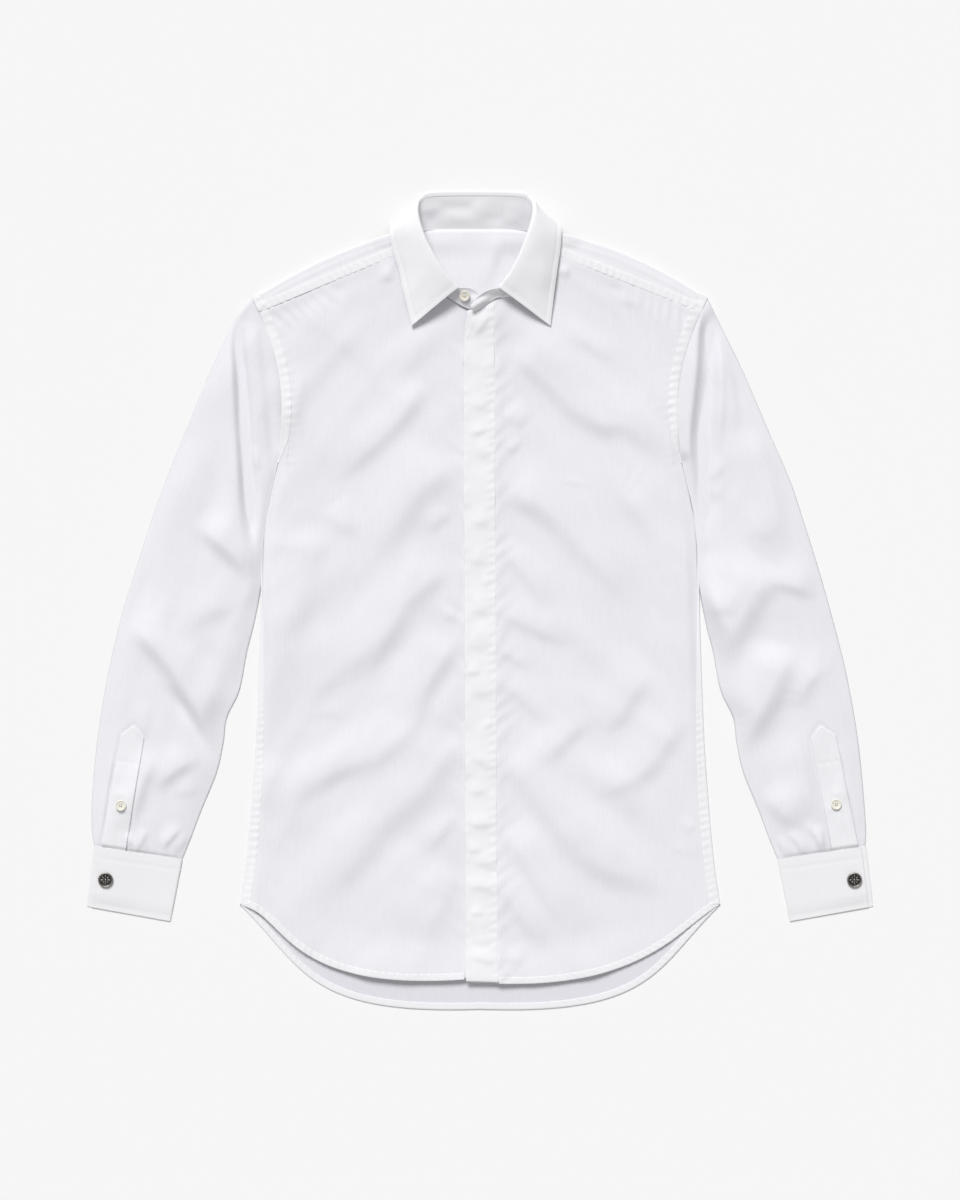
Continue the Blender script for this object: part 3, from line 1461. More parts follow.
@dataclass
class Sleeve:
    """A sleeve laid flat: a tube with a creased upper layer over a level lower one."""

    side: Side
    wardrobe: Wardrobe
    cloth: float = 0.5
    level: float = 4.6
    edge_round: float = 1.6
    rim: float = 0.1
    least: float = 0.4
    fold_level: float = 0.25
    seam_drop: float = 0.9
    edge_share: float = 0.09
    edge_reach: float = 26.0
    columns: int = 76
    rows_per_ring: int = 18
    lie: Lie = field(init=False)
    rings: Table = (
        (301.9, 227.6, 227.6, 136.8, 201.6),
        (274.5, 247, 240.5, 118, 205.8),
        (229.5, 269, 262.5, 94.5, 210.8),
        (171.5, 293, 287.5, 59.5, 215.8),
        (119.5, 314, 310, 16.5, 218.4),
        (71.5, 331, 326, -22.5, 225.5),
        (24.5, 346, 340.5, -52.5, 233),
        (-18.5, 359, 352.5, -90.5, 240.5),
        (-65.5, 370, 364.5, -118, 253),
        (-108.5, 378, 373, -143, 256.5),
        (-152.5, 384, 379.5, -173.5, 263.5),
        (-200.5, 388, 384, -211.5, 279),
        (-230.5, 388, 386, -237, 288.5),
        (-248.5, 385, 385, -261.5, 298.5),
    )

    def __post_init__(self) -> None:
        """Gather what shapes the upper layer."""
        own = RIGHT_SLEEVE if self.side is Side.RIGHT else LEFT_SLEEVE
        details = [
            Undulation(41 + int(self.side.value), 52.0, 0.8),
            Drape(43, -68.0, 90.0, 19.0, 0.6),
            Undulation(45, 22.0, 0.2),
            Undulation(47, 11.0, 0.04),
            Pucker(self.cuff_line, 0.5, 8.5, 16.0, 0.15),
        ]
        top, foot = Gauntlet(self.side, self.wardrobe, self).lines()
        outline = np.vstack([foot[:1], top, foot[-1:]])
        away = outline - (top.mean(0) + foot.mean(0)) / 2
        away[:, 1] *= 0.0
        away /= np.maximum(6.0, np.abs(away))
        outline = outline + 1.6 * away
        outline[2] += (0.0, 2.0)
        details.append(Welt(outline, 1.5, -1.0))
        self.lie = Lie(own, details, most=13.0)

    @property
    def cuff_line(self) -> Array:
        """The seam to the cuff, in plan."""
        return mirrored([(385.5, -247.0), (298.0, -260.0)], self.side)

    def head_drop(self, plan: Array) -> Array:
        """How far the sleeve goes down to its seam at the armhole and at the cuff."""
        _, away = follow(mirrored(CUT.armhole(evenly(24)), self.side), plan)
        _, to_cuff = follow(self.cuff_line, plan)
        return self.seam_drop * bell(away / 4.5) + self.seam_drop * bell(to_cuff / 6.0)

    def off_cuff(self, plan: Array) -> Array:
        """Share of its height that the sleeve has near the cuff: 0 at the cuff's edge."""
        return smooth_step(np.abs(follow(self.cuff_line, plan)[1]) / 4.5)

    def edges(self) -> tuple[Array, Array]:
        """The sleeve's outer and inner edges in plan, from the armhole to the cuff."""
        outer = [(row[self.side.column], row[0]) for row in self.rings]
        inner = [(row[4], row[3]) for row in self.rings]
        return mirrored(catmull(outer, 3), self.side), mirrored(catmull(inner, 3), self.side)

    def fullness(self, plan: Array) -> Array:
        """Share of its height that the sleeve has: less towards both edges."""
        outer, inner = (np.abs(follow(edge, plan)[1]) for edge in self.edges())
        inner = inner * (1.0 + 0.9 * smooth_step((plan[..., 1] + 40.0) / 50.0))  # fuller beside the body
        near = np.minimum(outer, inner)
        full = self.edge_share + (1.0 - self.edge_share) * np.sqrt(smooth_step(near / self.edge_reach))
        arm = mirrored(CUT.armhole(np.linspace(0.0, 0.6, 24)), self.side)
        _, away = follow(arm, plan)
        full = np.maximum(full, 1.0 - smooth_step((np.abs(away) - 3.0) / 26.0))
        return full * (0.45 + 0.55 * self.off_cuff(plan))

    def top(self, plan: Array) -> Array:
        """Height of the outside of the upper layer."""
        high = self.level + self.lie.lift(plan) - self.head_drop(plan)
        return self.least + np.maximum(0.3, (high - self.least) * self.fullness(plan))

    def make(self) -> Piece:
        """The sleeve as a flattened tube."""
        rows = [(row[self.side.column], row[0], row[4], row[3]) for row in self.rings]
        rings = catmull(rows, self.rows_per_ring)
        turn = np.linspace(0.0, math.pi, self.columns + 1)
        even = evenly(self.columns + 1)
        share = 0.45 * (0.5 - 0.5 * np.cos(turn)) + 0.55 * even
        place = np.arange(len(rings)) / (3.0 * self.rows_per_ring)
        fade = np.clip(1.0 - place, 0.0, 1.0)[:, None, None]
        outer, inner = rings[:, None, :2], rings[:, None, 2:]
        s = share[None, :, None]
        chord = inner - outer
        inward = unit(np.stack([chord[..., 1], -chord[..., 0]], axis=-1))
        plan = outer + chord * s + inward * CUT.armhole_bow * fade * np.sin(math.pi * s)
        width = np.linalg.norm(chord, axis=-1)
        edge = np.minimum(share, 1 - share)[None] * width
        full = np.sqrt(1.0 - (1.0 - np.clip(edge / self.edge_round, 0.0, 1.0)) ** 2)
        plan = mirrored(plan, self.side)
        middle = self.fold_level
        high = self.top(plan) + self.rim * bell((edge - 1.9) / 1.0)
        upper = np.dstack([plan, middle + (high - middle) * full])
        lower = np.dstack([plan, middle * (1.0 - full)])
        tube = np.concatenate([upper, lower[:, -2:0:-1]], axis=1)
        along = np.repeat(lengths(rings[:, :2])[:, None], tube.shape[1], axis=1)
        grain = np.dstack([runs(tube, 1), along])
        name = f"sleeve_{self.side.word}"
        faces = grid_faces(numbered(*tube.shape[:2]), loop=True, flip=self.side is Side.LEFT)
        piece = make_piece(f"{name}_cloth", tube, faces, self.wardrobe.shirting, grain)
        wall_shell(piece, self.cloth)
        return declare(piece, Slot.SHIRTING, name)


@dataclass
class Gauntlet:
    """The pointed placket over the sleeve slit, boxed with stitching below its point."""

    side: Side
    wardrobe: Wardrobe
    sleeve: Sleeve
    wall: float = 0.85
    top_line: Table = (
        (-134.5, 359.0, 355.5),
        (-125.0, 346.5, 340.8),
        (-138.0, 335.5, 330.5),
    )
    foot_line: Table = (
        (-249.5, 379.0, 378.6),
        (-251.5, 366.4, 365.4),
        (-253.3, 354.2, 352.2),
    )
    box_share: float = 0.255

    def lines(self) -> tuple[Array, Array]:
        """The placket's pointed top and its foot, in plan."""
        column = self.side.column
        top, foot = ([(row[column], row[0]) for row in table] for table in (self.top_line, self.foot_line))
        return mirrored(top, self.side), mirrored(foot, self.side)

    def top(self, plan: Array) -> Array:
        """Height of the placket's outside."""
        top, foot = self.lines()
        box = top[[0, 2]] + (foot[[0, 2]] - top[[0, 2]]) * (self.box_share - 0.03)
        x, y = self.button_at
        pull = [
            Crease(((x - 9, y - 3), (x - 4, y - 9)), 3.0, 0.5),
            Crease(((x + 9, y - 3), (x + 4, y - 9)), 3.0, 0.5),
            Crease(((x - 8, y + 9), (x + 8, y + 9)), 3.5, 0.45),
        ]
        lie = Lie(pull, [Pucker(box, 0.22, 8.0, 4.0, 0.4), Undulation(51, 13.0, 0.14)])
        seam, away = follow(box, plan)
        groove = -0.35 * bell(away / 1.1) * (seam > 0)
        sleeve = self.sleeve
        base = (sleeve.level + 0.35 * sleeve.lie.lift(plan)) * (0.2 + 0.8 * sleeve.off_cuff(plan))
        bed = np.maximum(sleeve.top(plan), base)
        return bed + self.wall + 0.15 + lie.lift(plan) + groove

    @property
    def button_at(self) -> Point:
        """Plan place of its button."""
        return (-358.4, -205.0) if self.side is Side.RIGHT else (355.6, -204.0)

    def make(self) -> Piece:
        """The placket as a slab with a pointed end."""
        top, foot = self.lines()
        shares = edged(14, 0.035)
        top, foot = resample(top, shares), resample(foot, shares)
        down = edged(74, 0.006)[:, None, None]
        net = top[None] * (1 - down) + foot[None] * down
        name = f"sleeve_placket_{self.side.word}"
        piece = slab(f"{name}_cloth", net, self.top, self.wall, self.wardrobe.lined)
        return declare(piece, Slot.SHIRTING, name)


@dataclass
class Cuff:
    """A link cuff: one fused band, folded at its inner side and open at its outer one."""

    side: Side
    wardrobe: Wardrobe
    wall: float = 0.6
    gap: float = 1.1
    lift_height: float = 1.0
    front_end: float = 0.945
    fold_share: float = 0.026
    columns: int = 44
    depth: float = 62.0
    stitch_groove: float = 0.32
    top_outer: Point = (385.5, -246.0)
    top_inner: Point = (297.5, -259.0)
    foot_outer: Point = (393.0, -306.2)
    foot_inner: Point = (309.5, -321.2)
    link_at: Point = (374.0, -279.6)

    def off_foot(self, plan: Array) -> Array:
        """Share of its looseness that the cuff has near its foot: 0 at the foot's edge."""
        foot = mirrored([self.foot_outer, self.foot_inner], self.side)
        return smooth_step(np.abs(follow(foot, plan)[1]) / 16.0)

    def lift(self, plan: Array) -> Array:
        """Height of the underside: none by the fold, most by the open end."""
        rise = smooth_step((self.shares(plan) - 0.35) / 0.37)
        return self.lift_height * rise * (0.15 + 0.85 * self.off_foot(plan))

    def plan(self, share: Array, down: Array) -> Array:
        """Plan points a share of the way out from the fold and down from the sleeve."""
        top = np.array(self.top_inner), np.array(self.top_outer)
        foot = np.array(self.foot_inner), np.array(self.foot_outer)
        s, v = share[..., None], down[..., None]
        inner = top[0] * (1 - v) + foot[0] * v
        outer = top[1] * (1 - v) + foot[1] * v
        return mirrored(inner * (1 - s) + outer * s, self.side)

    def shares(self, plan: Array) -> Array:
        """Share of the way out from the fold, of plan points."""
        fold = mirrored([self.top_inner, self.foot_inner], self.side)
        outer = mirrored([self.top_outer, self.foot_outer], self.side)
        to_fold, to_outer = (np.abs(follow(edge, plan)[1]) for edge in (fold, outer))
        return to_fold / (to_fold + to_outer)

    def top(self, plan: Array) -> Array:
        """Height of the front layer's outside."""
        wave = Undulation(61 + int(self.side.value), 34.0, 0.16).lift(plan)
        loose = (self.gap + wave) * (0.2 + 0.8 * self.off_foot(plan))
        return self.lift(plan) + 2 * self.wall + loose

    def make(self) -> Piece:
        """The cuff as one folded band."""
        turn, steps = self.fold_share, self.columns
        front = np.linspace(self.front_end, turn, steps)
        bend = np.linspace(0.0, math.pi, 9)[1:-1]
        back = np.linspace(turn, 1.0, steps)
        across = np.concatenate([front, turn * (1 - np.sin(bend)), back])
        down = edged(30, 0.012)
        share, v = np.meshgrid(across, down)
        plan = self.plan(share, v)
        top = self.top(plan)
        low = self.lift(plan)
        mid = np.concatenate([np.ones(steps), 0.5 + 0.5 * np.cos(bend), np.zeros(steps)])[None]
        groove = self.groove(plan) * (mid == 1.0)
        points = np.dstack([plan, low + (top - low) * mid - groove])
        around = np.repeat(lengths(points[0])[None], len(down), axis=0)
        grain = np.dstack([around, v * self.depth])
        faces = grid_faces(numbered(*points.shape[:2]), flip=self.side is Side.LEFT)
        name = f"cuff_{self.side.word}"
        piece = make_piece(f"{name}_cloth", points, faces, self.wardrobe.cuff, grain)
        round_rim(wall_shell(piece, self.wall))
        return declare(piece, Slot.FUSED, name)

    def stitch_lines(self) -> list[Array]:
        """Plan lines of its topstitching: across the top, at the open end and the foot."""
        end = self.front_end - 0.05
        top = self.plan(np.linspace(0.0, self.front_end, 30), np.full(30, 0.17))
        foot = self.plan(np.linspace(0.0, end, 30), np.full(30, 0.93))
        side = self.plan(np.full(20, end), np.linspace(0.02, 0.93, 20))
        return [top, foot, side]

    def groove(self, plan: Array) -> Array:
        """Depth that the stitching pulls into the front layer."""
        depth = np.zeros(plan.shape[:-1])
        for line in self.stitch_lines():
            _, away = follow(line, plan)
            depth = np.maximum(depth, self.stitch_groove * bell(away))
        return depth


# ---- the collar


@dataclass
class Collar:
    """The stand and the leaf that turns over it."""

    wardrobe: Wardrobe
    wall: float = 1.3
    per_step: int = 9
    stand_height: float = 34.0
    stand_to_roll: float = 5.6
    roll_radius: float = 2.5
    roll_over: float = 150.0
    roll_under: float = 172.0
    topstitch: float = 5.6
    stitch_groove: float = 0.5
    sewn: list[Array] = field(default_factory=list)

    def leaf_line(self, base: Vector, roll: Vector, edge: Vector, tuck: float) -> Array:
        """The leaf's section: up inside the stand's line, over the roll, out to its edge."""
        rise = (roll - base).normalized()
        outward = (edge - roll) * Vector((1.0, 1.0, 0.0))
        turn = outward.normalized().lerp(Vector((0.0, 0.0, -1.0)), tuck)
        turn = (turn - rise * turn.dot(rise)).normalized()
        radius = self.roll_radius
        start = roll - rise * radius
        line = [roll - rise * self.stand_to_roll, roll - rise * 4.0, start]
        whole = self.roll_over + (self.roll_under - self.roll_over) * tuck
        for i in range(1, 13):
            angle = math.radians(whole * i / 12)
            arc = rise * math.sin(angle) + turn * (1.0 - math.cos(angle))
            line.append(start + arc * radius)
        heading = rise * math.cos(angle) + turn * math.sin(angle)
        fall = edge - line[-1]
        near_edge = edge - fall * 0.4
        near_edge.z += (0.05 * fall.length) * (1.0 - tuck) + (edge.z - near_edge.z) * tuck
        controls = (line[-1], line[-1] + heading * fall.length * 0.2, near_edge, edge)
        curve = bezier([tuple(point) for point in controls], 60)
        margin = 1.0 - self.topstitch / max(12.0, fall.length)
        shares = np.concatenate([np.linspace(0.0, margin, 19)[1:], np.linspace(margin, 1.0, 7)[1:]])
        return np.vstack([np.array([tuple(p) for p in line]), resample(curve, shares)])

    def leaf_grid(self) -> Array:
        """All the leaf's sections, from its right end round to its left end."""
        return np.array([self.leaf_line(*row) for row in COLLAR.rows(self.per_step)])

    def make_leaf(self) -> Piece:
        """The collar leaf, with a groove where its topstitching runs."""
        grid = self.leaf_grid()
        from_edge = runs(grid[:, ::-1], 1)[:, ::-1]
        run = runs(grid, 0)
        from_end = np.minimum(run, run[-1:] - run)
        normal = unit(np.cross(np.gradient(grid, axis=1), np.gradient(grid, axis=0)))
        if normal[len(grid) // 2, 1, 2] < 0.0:
            normal = -normal
        seam = np.minimum(np.abs(from_edge - self.topstitch), np.abs(from_end - self.topstitch))
        inside = (from_edge > self.topstitch - 1.5) & (from_end > self.topstitch - 1.5)
        groove = self.stitch_groove * bell(seam / 1.3) * inside
        plan = grid[..., :2]
        wave = Undulation(71, 24.0, 0.56).lift(plan) + Undulation(73, 9.0, 0.1).lift(plan)
        sway = sum(crease.lift(plan) for crease in LEAF)
        falling = smooth_step((np.arange(grid.shape[1]) - 13) / 6.0)[None]
        grid = grid + normal * ((wave + sway) * falling - groove)[..., None]
        self.sewn = self.seam_lines(grid + normal * 0.12, run[:, -1])
        grain = np.dstack([run[:, -1:] * np.ones(from_edge.shape), -from_edge])
        piece = self.shell("collar_leaf", grid, self.wardrobe.fused, grain)
        round_rim(piece)
        return declare(piece, Slot.FUSED, "collar_leaf")

    def seam_lines(self, grid: Array, run: Array) -> list[Array]:
        """The leaf's topstitching, on its sections and the length run along its edge."""
        first = int(np.searchsorted(run, self.topstitch))
        last = int(np.searchsorted(run, run[-1] - self.topstitch)) - 1
        return [grid[first:last + 1, -7], grid[first, 14:-6], grid[last, 14:-6]]

    def shell(self, name: str, grid: Array, material: Material, grain: Array) -> Piece:
        """A walled piece of the collar, its faces to the neck as judged inside its back."""
        faces = grid_faces(numbered(*grid.shape[:2]))
        piece = make_piece(f"{name}_cloth", grid, faces, material, grain)
        per_row = grid.shape[1] - 1
        middle = len(piece.data.polygons) // per_row // 2
        if piece.data.polygons[middle * per_row].normal.z < 0.0:
            piece.data.flip_normals()
        return wall_shell(piece, self.wall)

    def stand_rows(self) -> list[tuple[Vector, Vector]]:
        """Base and top of the stand, from its right end to its left end."""
        rows = []
        for base, roll, _, _ in COLLAR.rows(self.per_step):
            share = 1.0 - (self.stand_to_roll + 0.3) / (roll - base).length
            rows.append((base, base.lerp(roll, share)))
        ends = {}
        for side in Side:
            joined = (*rows[0], *rows[3]) if side is Side.RIGHT else (*rows[-1], *rows[-4])
            whole = [(*joined[2], *joined[3]), (*joined[0], *joined[1]), *COLLAR.ends(side)]
            smoothed = catmull(whole, self.per_step)[self.per_step + 1:]
            ends[side] = [(Vector(row[:3]), Vector(row[3:])) for row in smoothed]
        return [*ends[Side.RIGHT][::-1], *rows, *ends[Side.LEFT]]

    def make_stand(self) -> Piece:
        """The collar stand: a fused band from the neck seam up to just under the roll."""
        shares = edged(14, 0.02)
        grid = np.array([[tuple(b.lerp(t, s)) for s in shares] for b, t in self.stand_rows()])
        place = grid[..., :2] + np.array([0.0, 1.0]) * grid[..., 2:]
        wave = Undulation(77, 16.0, 1.05).lift(place) + Undulation(79, 7.0, 0.16).lift(place)
        grid[..., 2] += wave * np.sin(math.pi * shares)[None]
        run = lengths(grid[:, 0])
        up = self.stand_height * shares
        grain = np.stack(np.broadcast_arrays(run[:, None], up[None]), axis=-1)
        piece = self.shell("collar_stand", grid, self.wardrobe.stand, grain)
        return declare(piece, Slot.FUSED, "collar_stand")


# ---- stitching


@dataclass
class StitchRun:
    """Rows of stitches along paths, one small bead of thread for each stitch."""

    name: str
    material: Material
    pitch: float = 2.4
    length: float = 1.9
    width: float = 0.42

    def make_tree(self) -> bpy.types.NodeTree:
        """The node tree that lays stitches along the edges of a mesh."""
        tree = bpy.data.node_groups.new("stitch_run", "GeometryNodeTree")
        for name, kind in (
            ("Geometry", "NodeSocketGeometry"),
            ("Pitch", "NodeSocketFloat"),
            ("Stitch Size", "NodeSocketVector"),
            ("Thread", "NodeSocketMaterial"),
        ):
            tree.interface.new_socket(name=name, in_out="INPUT", socket_type=kind)
        tree.interface.new_socket(name="Geometry", in_out="OUTPUT", socket_type="NodeSocketGeometry")
        nodes = Nodes(tree)
        start = nodes.add("NodeGroupInput").outputs
        curve = nodes.add("GeometryNodeMeshToCurve", {0: start["Geometry"]}).outputs[0]
        inputs = {"Curve": curve, "Length": start["Pitch"]}
        spaced = nodes.add("GeometryNodeResampleCurve", inputs, mode="LENGTH").outputs[0]
        tangent = nodes.add("GeometryNodeInputTangent").outputs[0]
        turn = nodes.add("FunctionNodeAlignRotationToVector", {"Vector": tangent}, axis="X").outputs[0]
        bead = nodes.add("GeometryNodeMeshIcoSphere", {"Radius": 0.5, "Subdivisions": 1}).outputs[0]
        inputs = {"Points": spaced, "Instance": bead, "Rotation": turn, "Scale": start["Stitch Size"]}
        beads = nodes.add("GeometryNodeInstanceOnPoints", inputs).outputs[0]
        real = nodes.add("GeometryNodeRealizeInstances", {0: beads}).outputs[0]
        smooth = nodes.add("GeometryNodeSetShadeSmooth", {0: real}).outputs[0]
        dressed = nodes.add("GeometryNodeSetMaterial", {0: smooth, "Material": start["Thread"]}).outputs[0]
        nodes.add("NodeGroupOutput", {0: dressed})
        return tree

    def make(self, paths: Sequence[Array], slot: Slot, *nodes: str) -> Piece:
        """Lay stitches along paths.

        Args:
            paths: Lines of points in millimetres.
            slot: The record's slot of the cloth that they are sewn into.
            nodes: The solids that they belong to.

        Returns:
            The stitches as one plain mesh.
        """
        points, edges = [], []
        for path in paths:
            start = len(points)
            points += (path * MM).tolist()
            edges += [(start + i, start + i + 1) for i in range(len(path) - 1)]
        mesh = bpy.data.meshes.new(self.name)
        mesh.from_pydata(points, edges, [])
        mesh.materials.append(self.material)
        piece = show(bpy.data.objects.new(self.name, mesh))
        tree = bpy.data.node_groups.get("stitch_run") or self.make_tree()
        modifier = piece.modifiers.new("stitches", "NODES")
        modifier.node_group = tree
        values = {
            "Pitch": self.pitch * MM,
            "Stitch Size": (self.length * MM, self.width * MM, self.width * MM),
            "Thread": self.material,
        }
        for socket in tree.interface.items_tree:
            if socket.in_out == "INPUT" and socket.name in values:
                modifier[socket.identifier] = values[socket.name]
        plain_mesh(piece)
        piece.data.shade_smooth()
        return declare(piece, slot, *nodes)


def on_cloth(plan: Array, top: Height, sink: float = 0.06) -> Array:
    """Points of a plan line laid on the cloth, pulled in a little."""
    return np.column_stack([plan, top(plan) - sink])


@dataclass
class Stitching:
    """Every visible row of stitches on the shirt."""

    wardrobe: Wardrobe
    body: Body
    yoke: Yoke
    seams: Seams
    fly: Fly
    collar: Collar

    def run(self, name: str, paths: Sequence[Array], slot: Slot, node: str) -> Piece:
        """Lay the stitches of one piece."""
        return StitchRun(name, self.wardrobe.thread).make(paths, slot, node)

    def make_body(self) -> None:
        """The stitches of the fronts, the fly, the yoke and the back's hem."""
        for side in Side:
            top = Over(self.body.outside(side), 0.3)
            hem = resample(beside(CUT.front_hem(side), -side.value * 5.6), 150)
            limit = 20.0 if side is Side.LEFT else 16.0
            hem = hem[np.abs(hem[:, 0]) > limit]
            arm = resample(mirrored(CUT.armhole(np.linspace(0.0, 0.98, 60)), side), 80)
            rows = [
                on_cloth(hem, top),
                on_cloth(beside(arm, -side.value * 9.0), Over(self.seams.body_top, 0.4)),
            ]
            line = mirrored(CUT.side_line(), side)
            line = resample(line[line[:, 1] < -110.0], 90)
            seam = beside(line, -side.value * np.linspace(3.0, 8.8, 91))
            rows.append(on_cloth(seam, lambda p: np.maximum(self.body.front_top(p) + 0.35, 2.0)))
            self.run(f"stitches_front_{side.word}", rows, Slot.SHIRTING, f"front_{side.word}")
        yoke_rows = []
        for side in Side:
            path = CUT.yoke_seam(side, np.linspace(0.03, 0.98, 60))
            for inset in (1.6, 8.0):
                line = beside(path, -side.value * inset)
                yoke_rows.append(on_cloth(line, Over(self.yoke.strip_top, 0.1)))
        self.run("stitches_yoke", yoke_rows, Slot.SHIRTING, "yoke")
        stitch = resample(beside(np.array(CUT.fly_stitch), -1.6), 260)
        edge = np.array(CUT.fly_edge)
        foot = np.array([edge[-1] + (1.5, 5.4), np.array(CUT.fly_stitch[1]) + (-1.5, 5.4)])
        tack = np.array([(-15.0, 168.0), (14.6, 167.0)])
        rows = [on_cloth(line, self.fly.top) for line in (stitch, resample(foot, 20), resample(tack, 20))]
        self.run("stitches_fly", rows, Slot.SHIRTING, "fly_placket")
        line = resample(beside(CUT.back_hem_line()[1:-2], -5.6), 260)
        self.run("stitches_back", [on_cloth(line, level_at(BACK_HEM_TOP))], Slot.SHIRTING, "back")

    def make_collar(self) -> None:
        """The stitches round the collar leaf, once the leaf is made."""
        self.run("stitches_collar", self.collar.sewn, Slot.FUSED, "collar_leaf")

    def make_sleeve(self, gauntlet: Gauntlet, cuff: Cuff) -> None:
        """The stitches of one gauntlet and one cuff."""
        side = gauntlet.side
        top, foot = gauntlet.lines()
        centre = (top.mean(0) + foot.mean(0)) / 2
        outline = np.vstack([foot[:1], top, foot[-1:]])
        pulled = outline + unit(centre - outline) * 0.4
        across = unit(foot[-1] - foot[0])
        offset = ((pulled - centre) @ across)[:, None]
        inset = pulled - across * 1.6 * np.sign(offset) * (np.abs(offset) > 4.0)
        inset[2] -= (0.0, 1.8)
        boxes = [resample(inset, 120)]
        for share in (gauntlet.box_share - 0.03, gauntlet.box_share + 0.01):
            row = inset[[1, 3]] * (1 - share) + inset[[0, 4]] * share
            boxes.append(resample(row, 10))
        rows = [on_cloth(line, gauntlet.top, 0.1) for line in boxes]
        name = f"stitches_sleeve_placket_{side.word}"
        self.run(name, rows, Slot.SHIRTING, f"sleeve_placket_{side.word}")
        rows = []
        for line in cuff.stitch_lines():
            rows.append(on_cloth(line, cuff.top, cuff.stitch_groove))
        self.run(f"stitches_cuff_{side.word}", rows, Slot.FUSED, f"cuff_{side.word}")


# ---- buttons and cuff links


def turned(name: str, profile: Sequence[Point], steps: int) -> Piece:
    """A closed turned mesh from a profile of (radius, height), top to bottom."""
    rings = np.array(profile, float)
    turn = np.linspace(0.0, 2 * math.pi, steps, endpoint=False)
    radius, height = rings[1:-1].T[:, :, None]
    wall = np.stack(np.broadcast_arrays(radius * np.cos(turn), radius * np.sin(turn), height), axis=-1)
    points = np.vstack([[(0.0, 0.0, rings[0, 1])], wall.reshape(-1, 3), [(0.0, 0.0, rings[-1, 1])]])
    index = numbered(len(wall), steps, 1)
    faces = [(0, a, b) for a, b in zip(index[0], np.roll(index[0], -1))]
    faces += [(len(points) - 1, b, a) for a, b in zip(index[-1], np.roll(index[-1], -1))]
    faces += grid_faces(index, loop=True)
    mesh = bpy.data.meshes.new(name)
    mesh.from_pydata((points * MM).tolist(), [], faces)
    return turn_outwards(show(bpy.data.objects.new(name, mesh)))


def bent_tube(points: Array, radius: float, sides: int = 6) -> tuple[Array, list[list[int]]]:
    """A closed tube along a line of points.

    Args:
        points: The line, in millimetres.
        radius: Of the tube.
        sides: Round it.

    Returns:
        Its points and faces.
    """
    run = unit(np.gradient(points, axis=0))
    side = unit(np.cross(run, (0.03, 0.05, 1.0)))
    up = np.cross(side, run)
    turn = np.linspace(0.0, 2 * math.pi, sides, endpoint=False)
    rings = points[:, None] + radius * (
        side[:, None] * np.cos(turn)[None, :, None] + up[:, None] * np.sin(turn)[None, :, None]
    )
    index = numbered(len(points), sides)
    faces = [*grid_faces(index, loop=True), index[0].tolist(), index[-1, ::-1].tolist()]
    return rings.reshape(-1, 3), faces


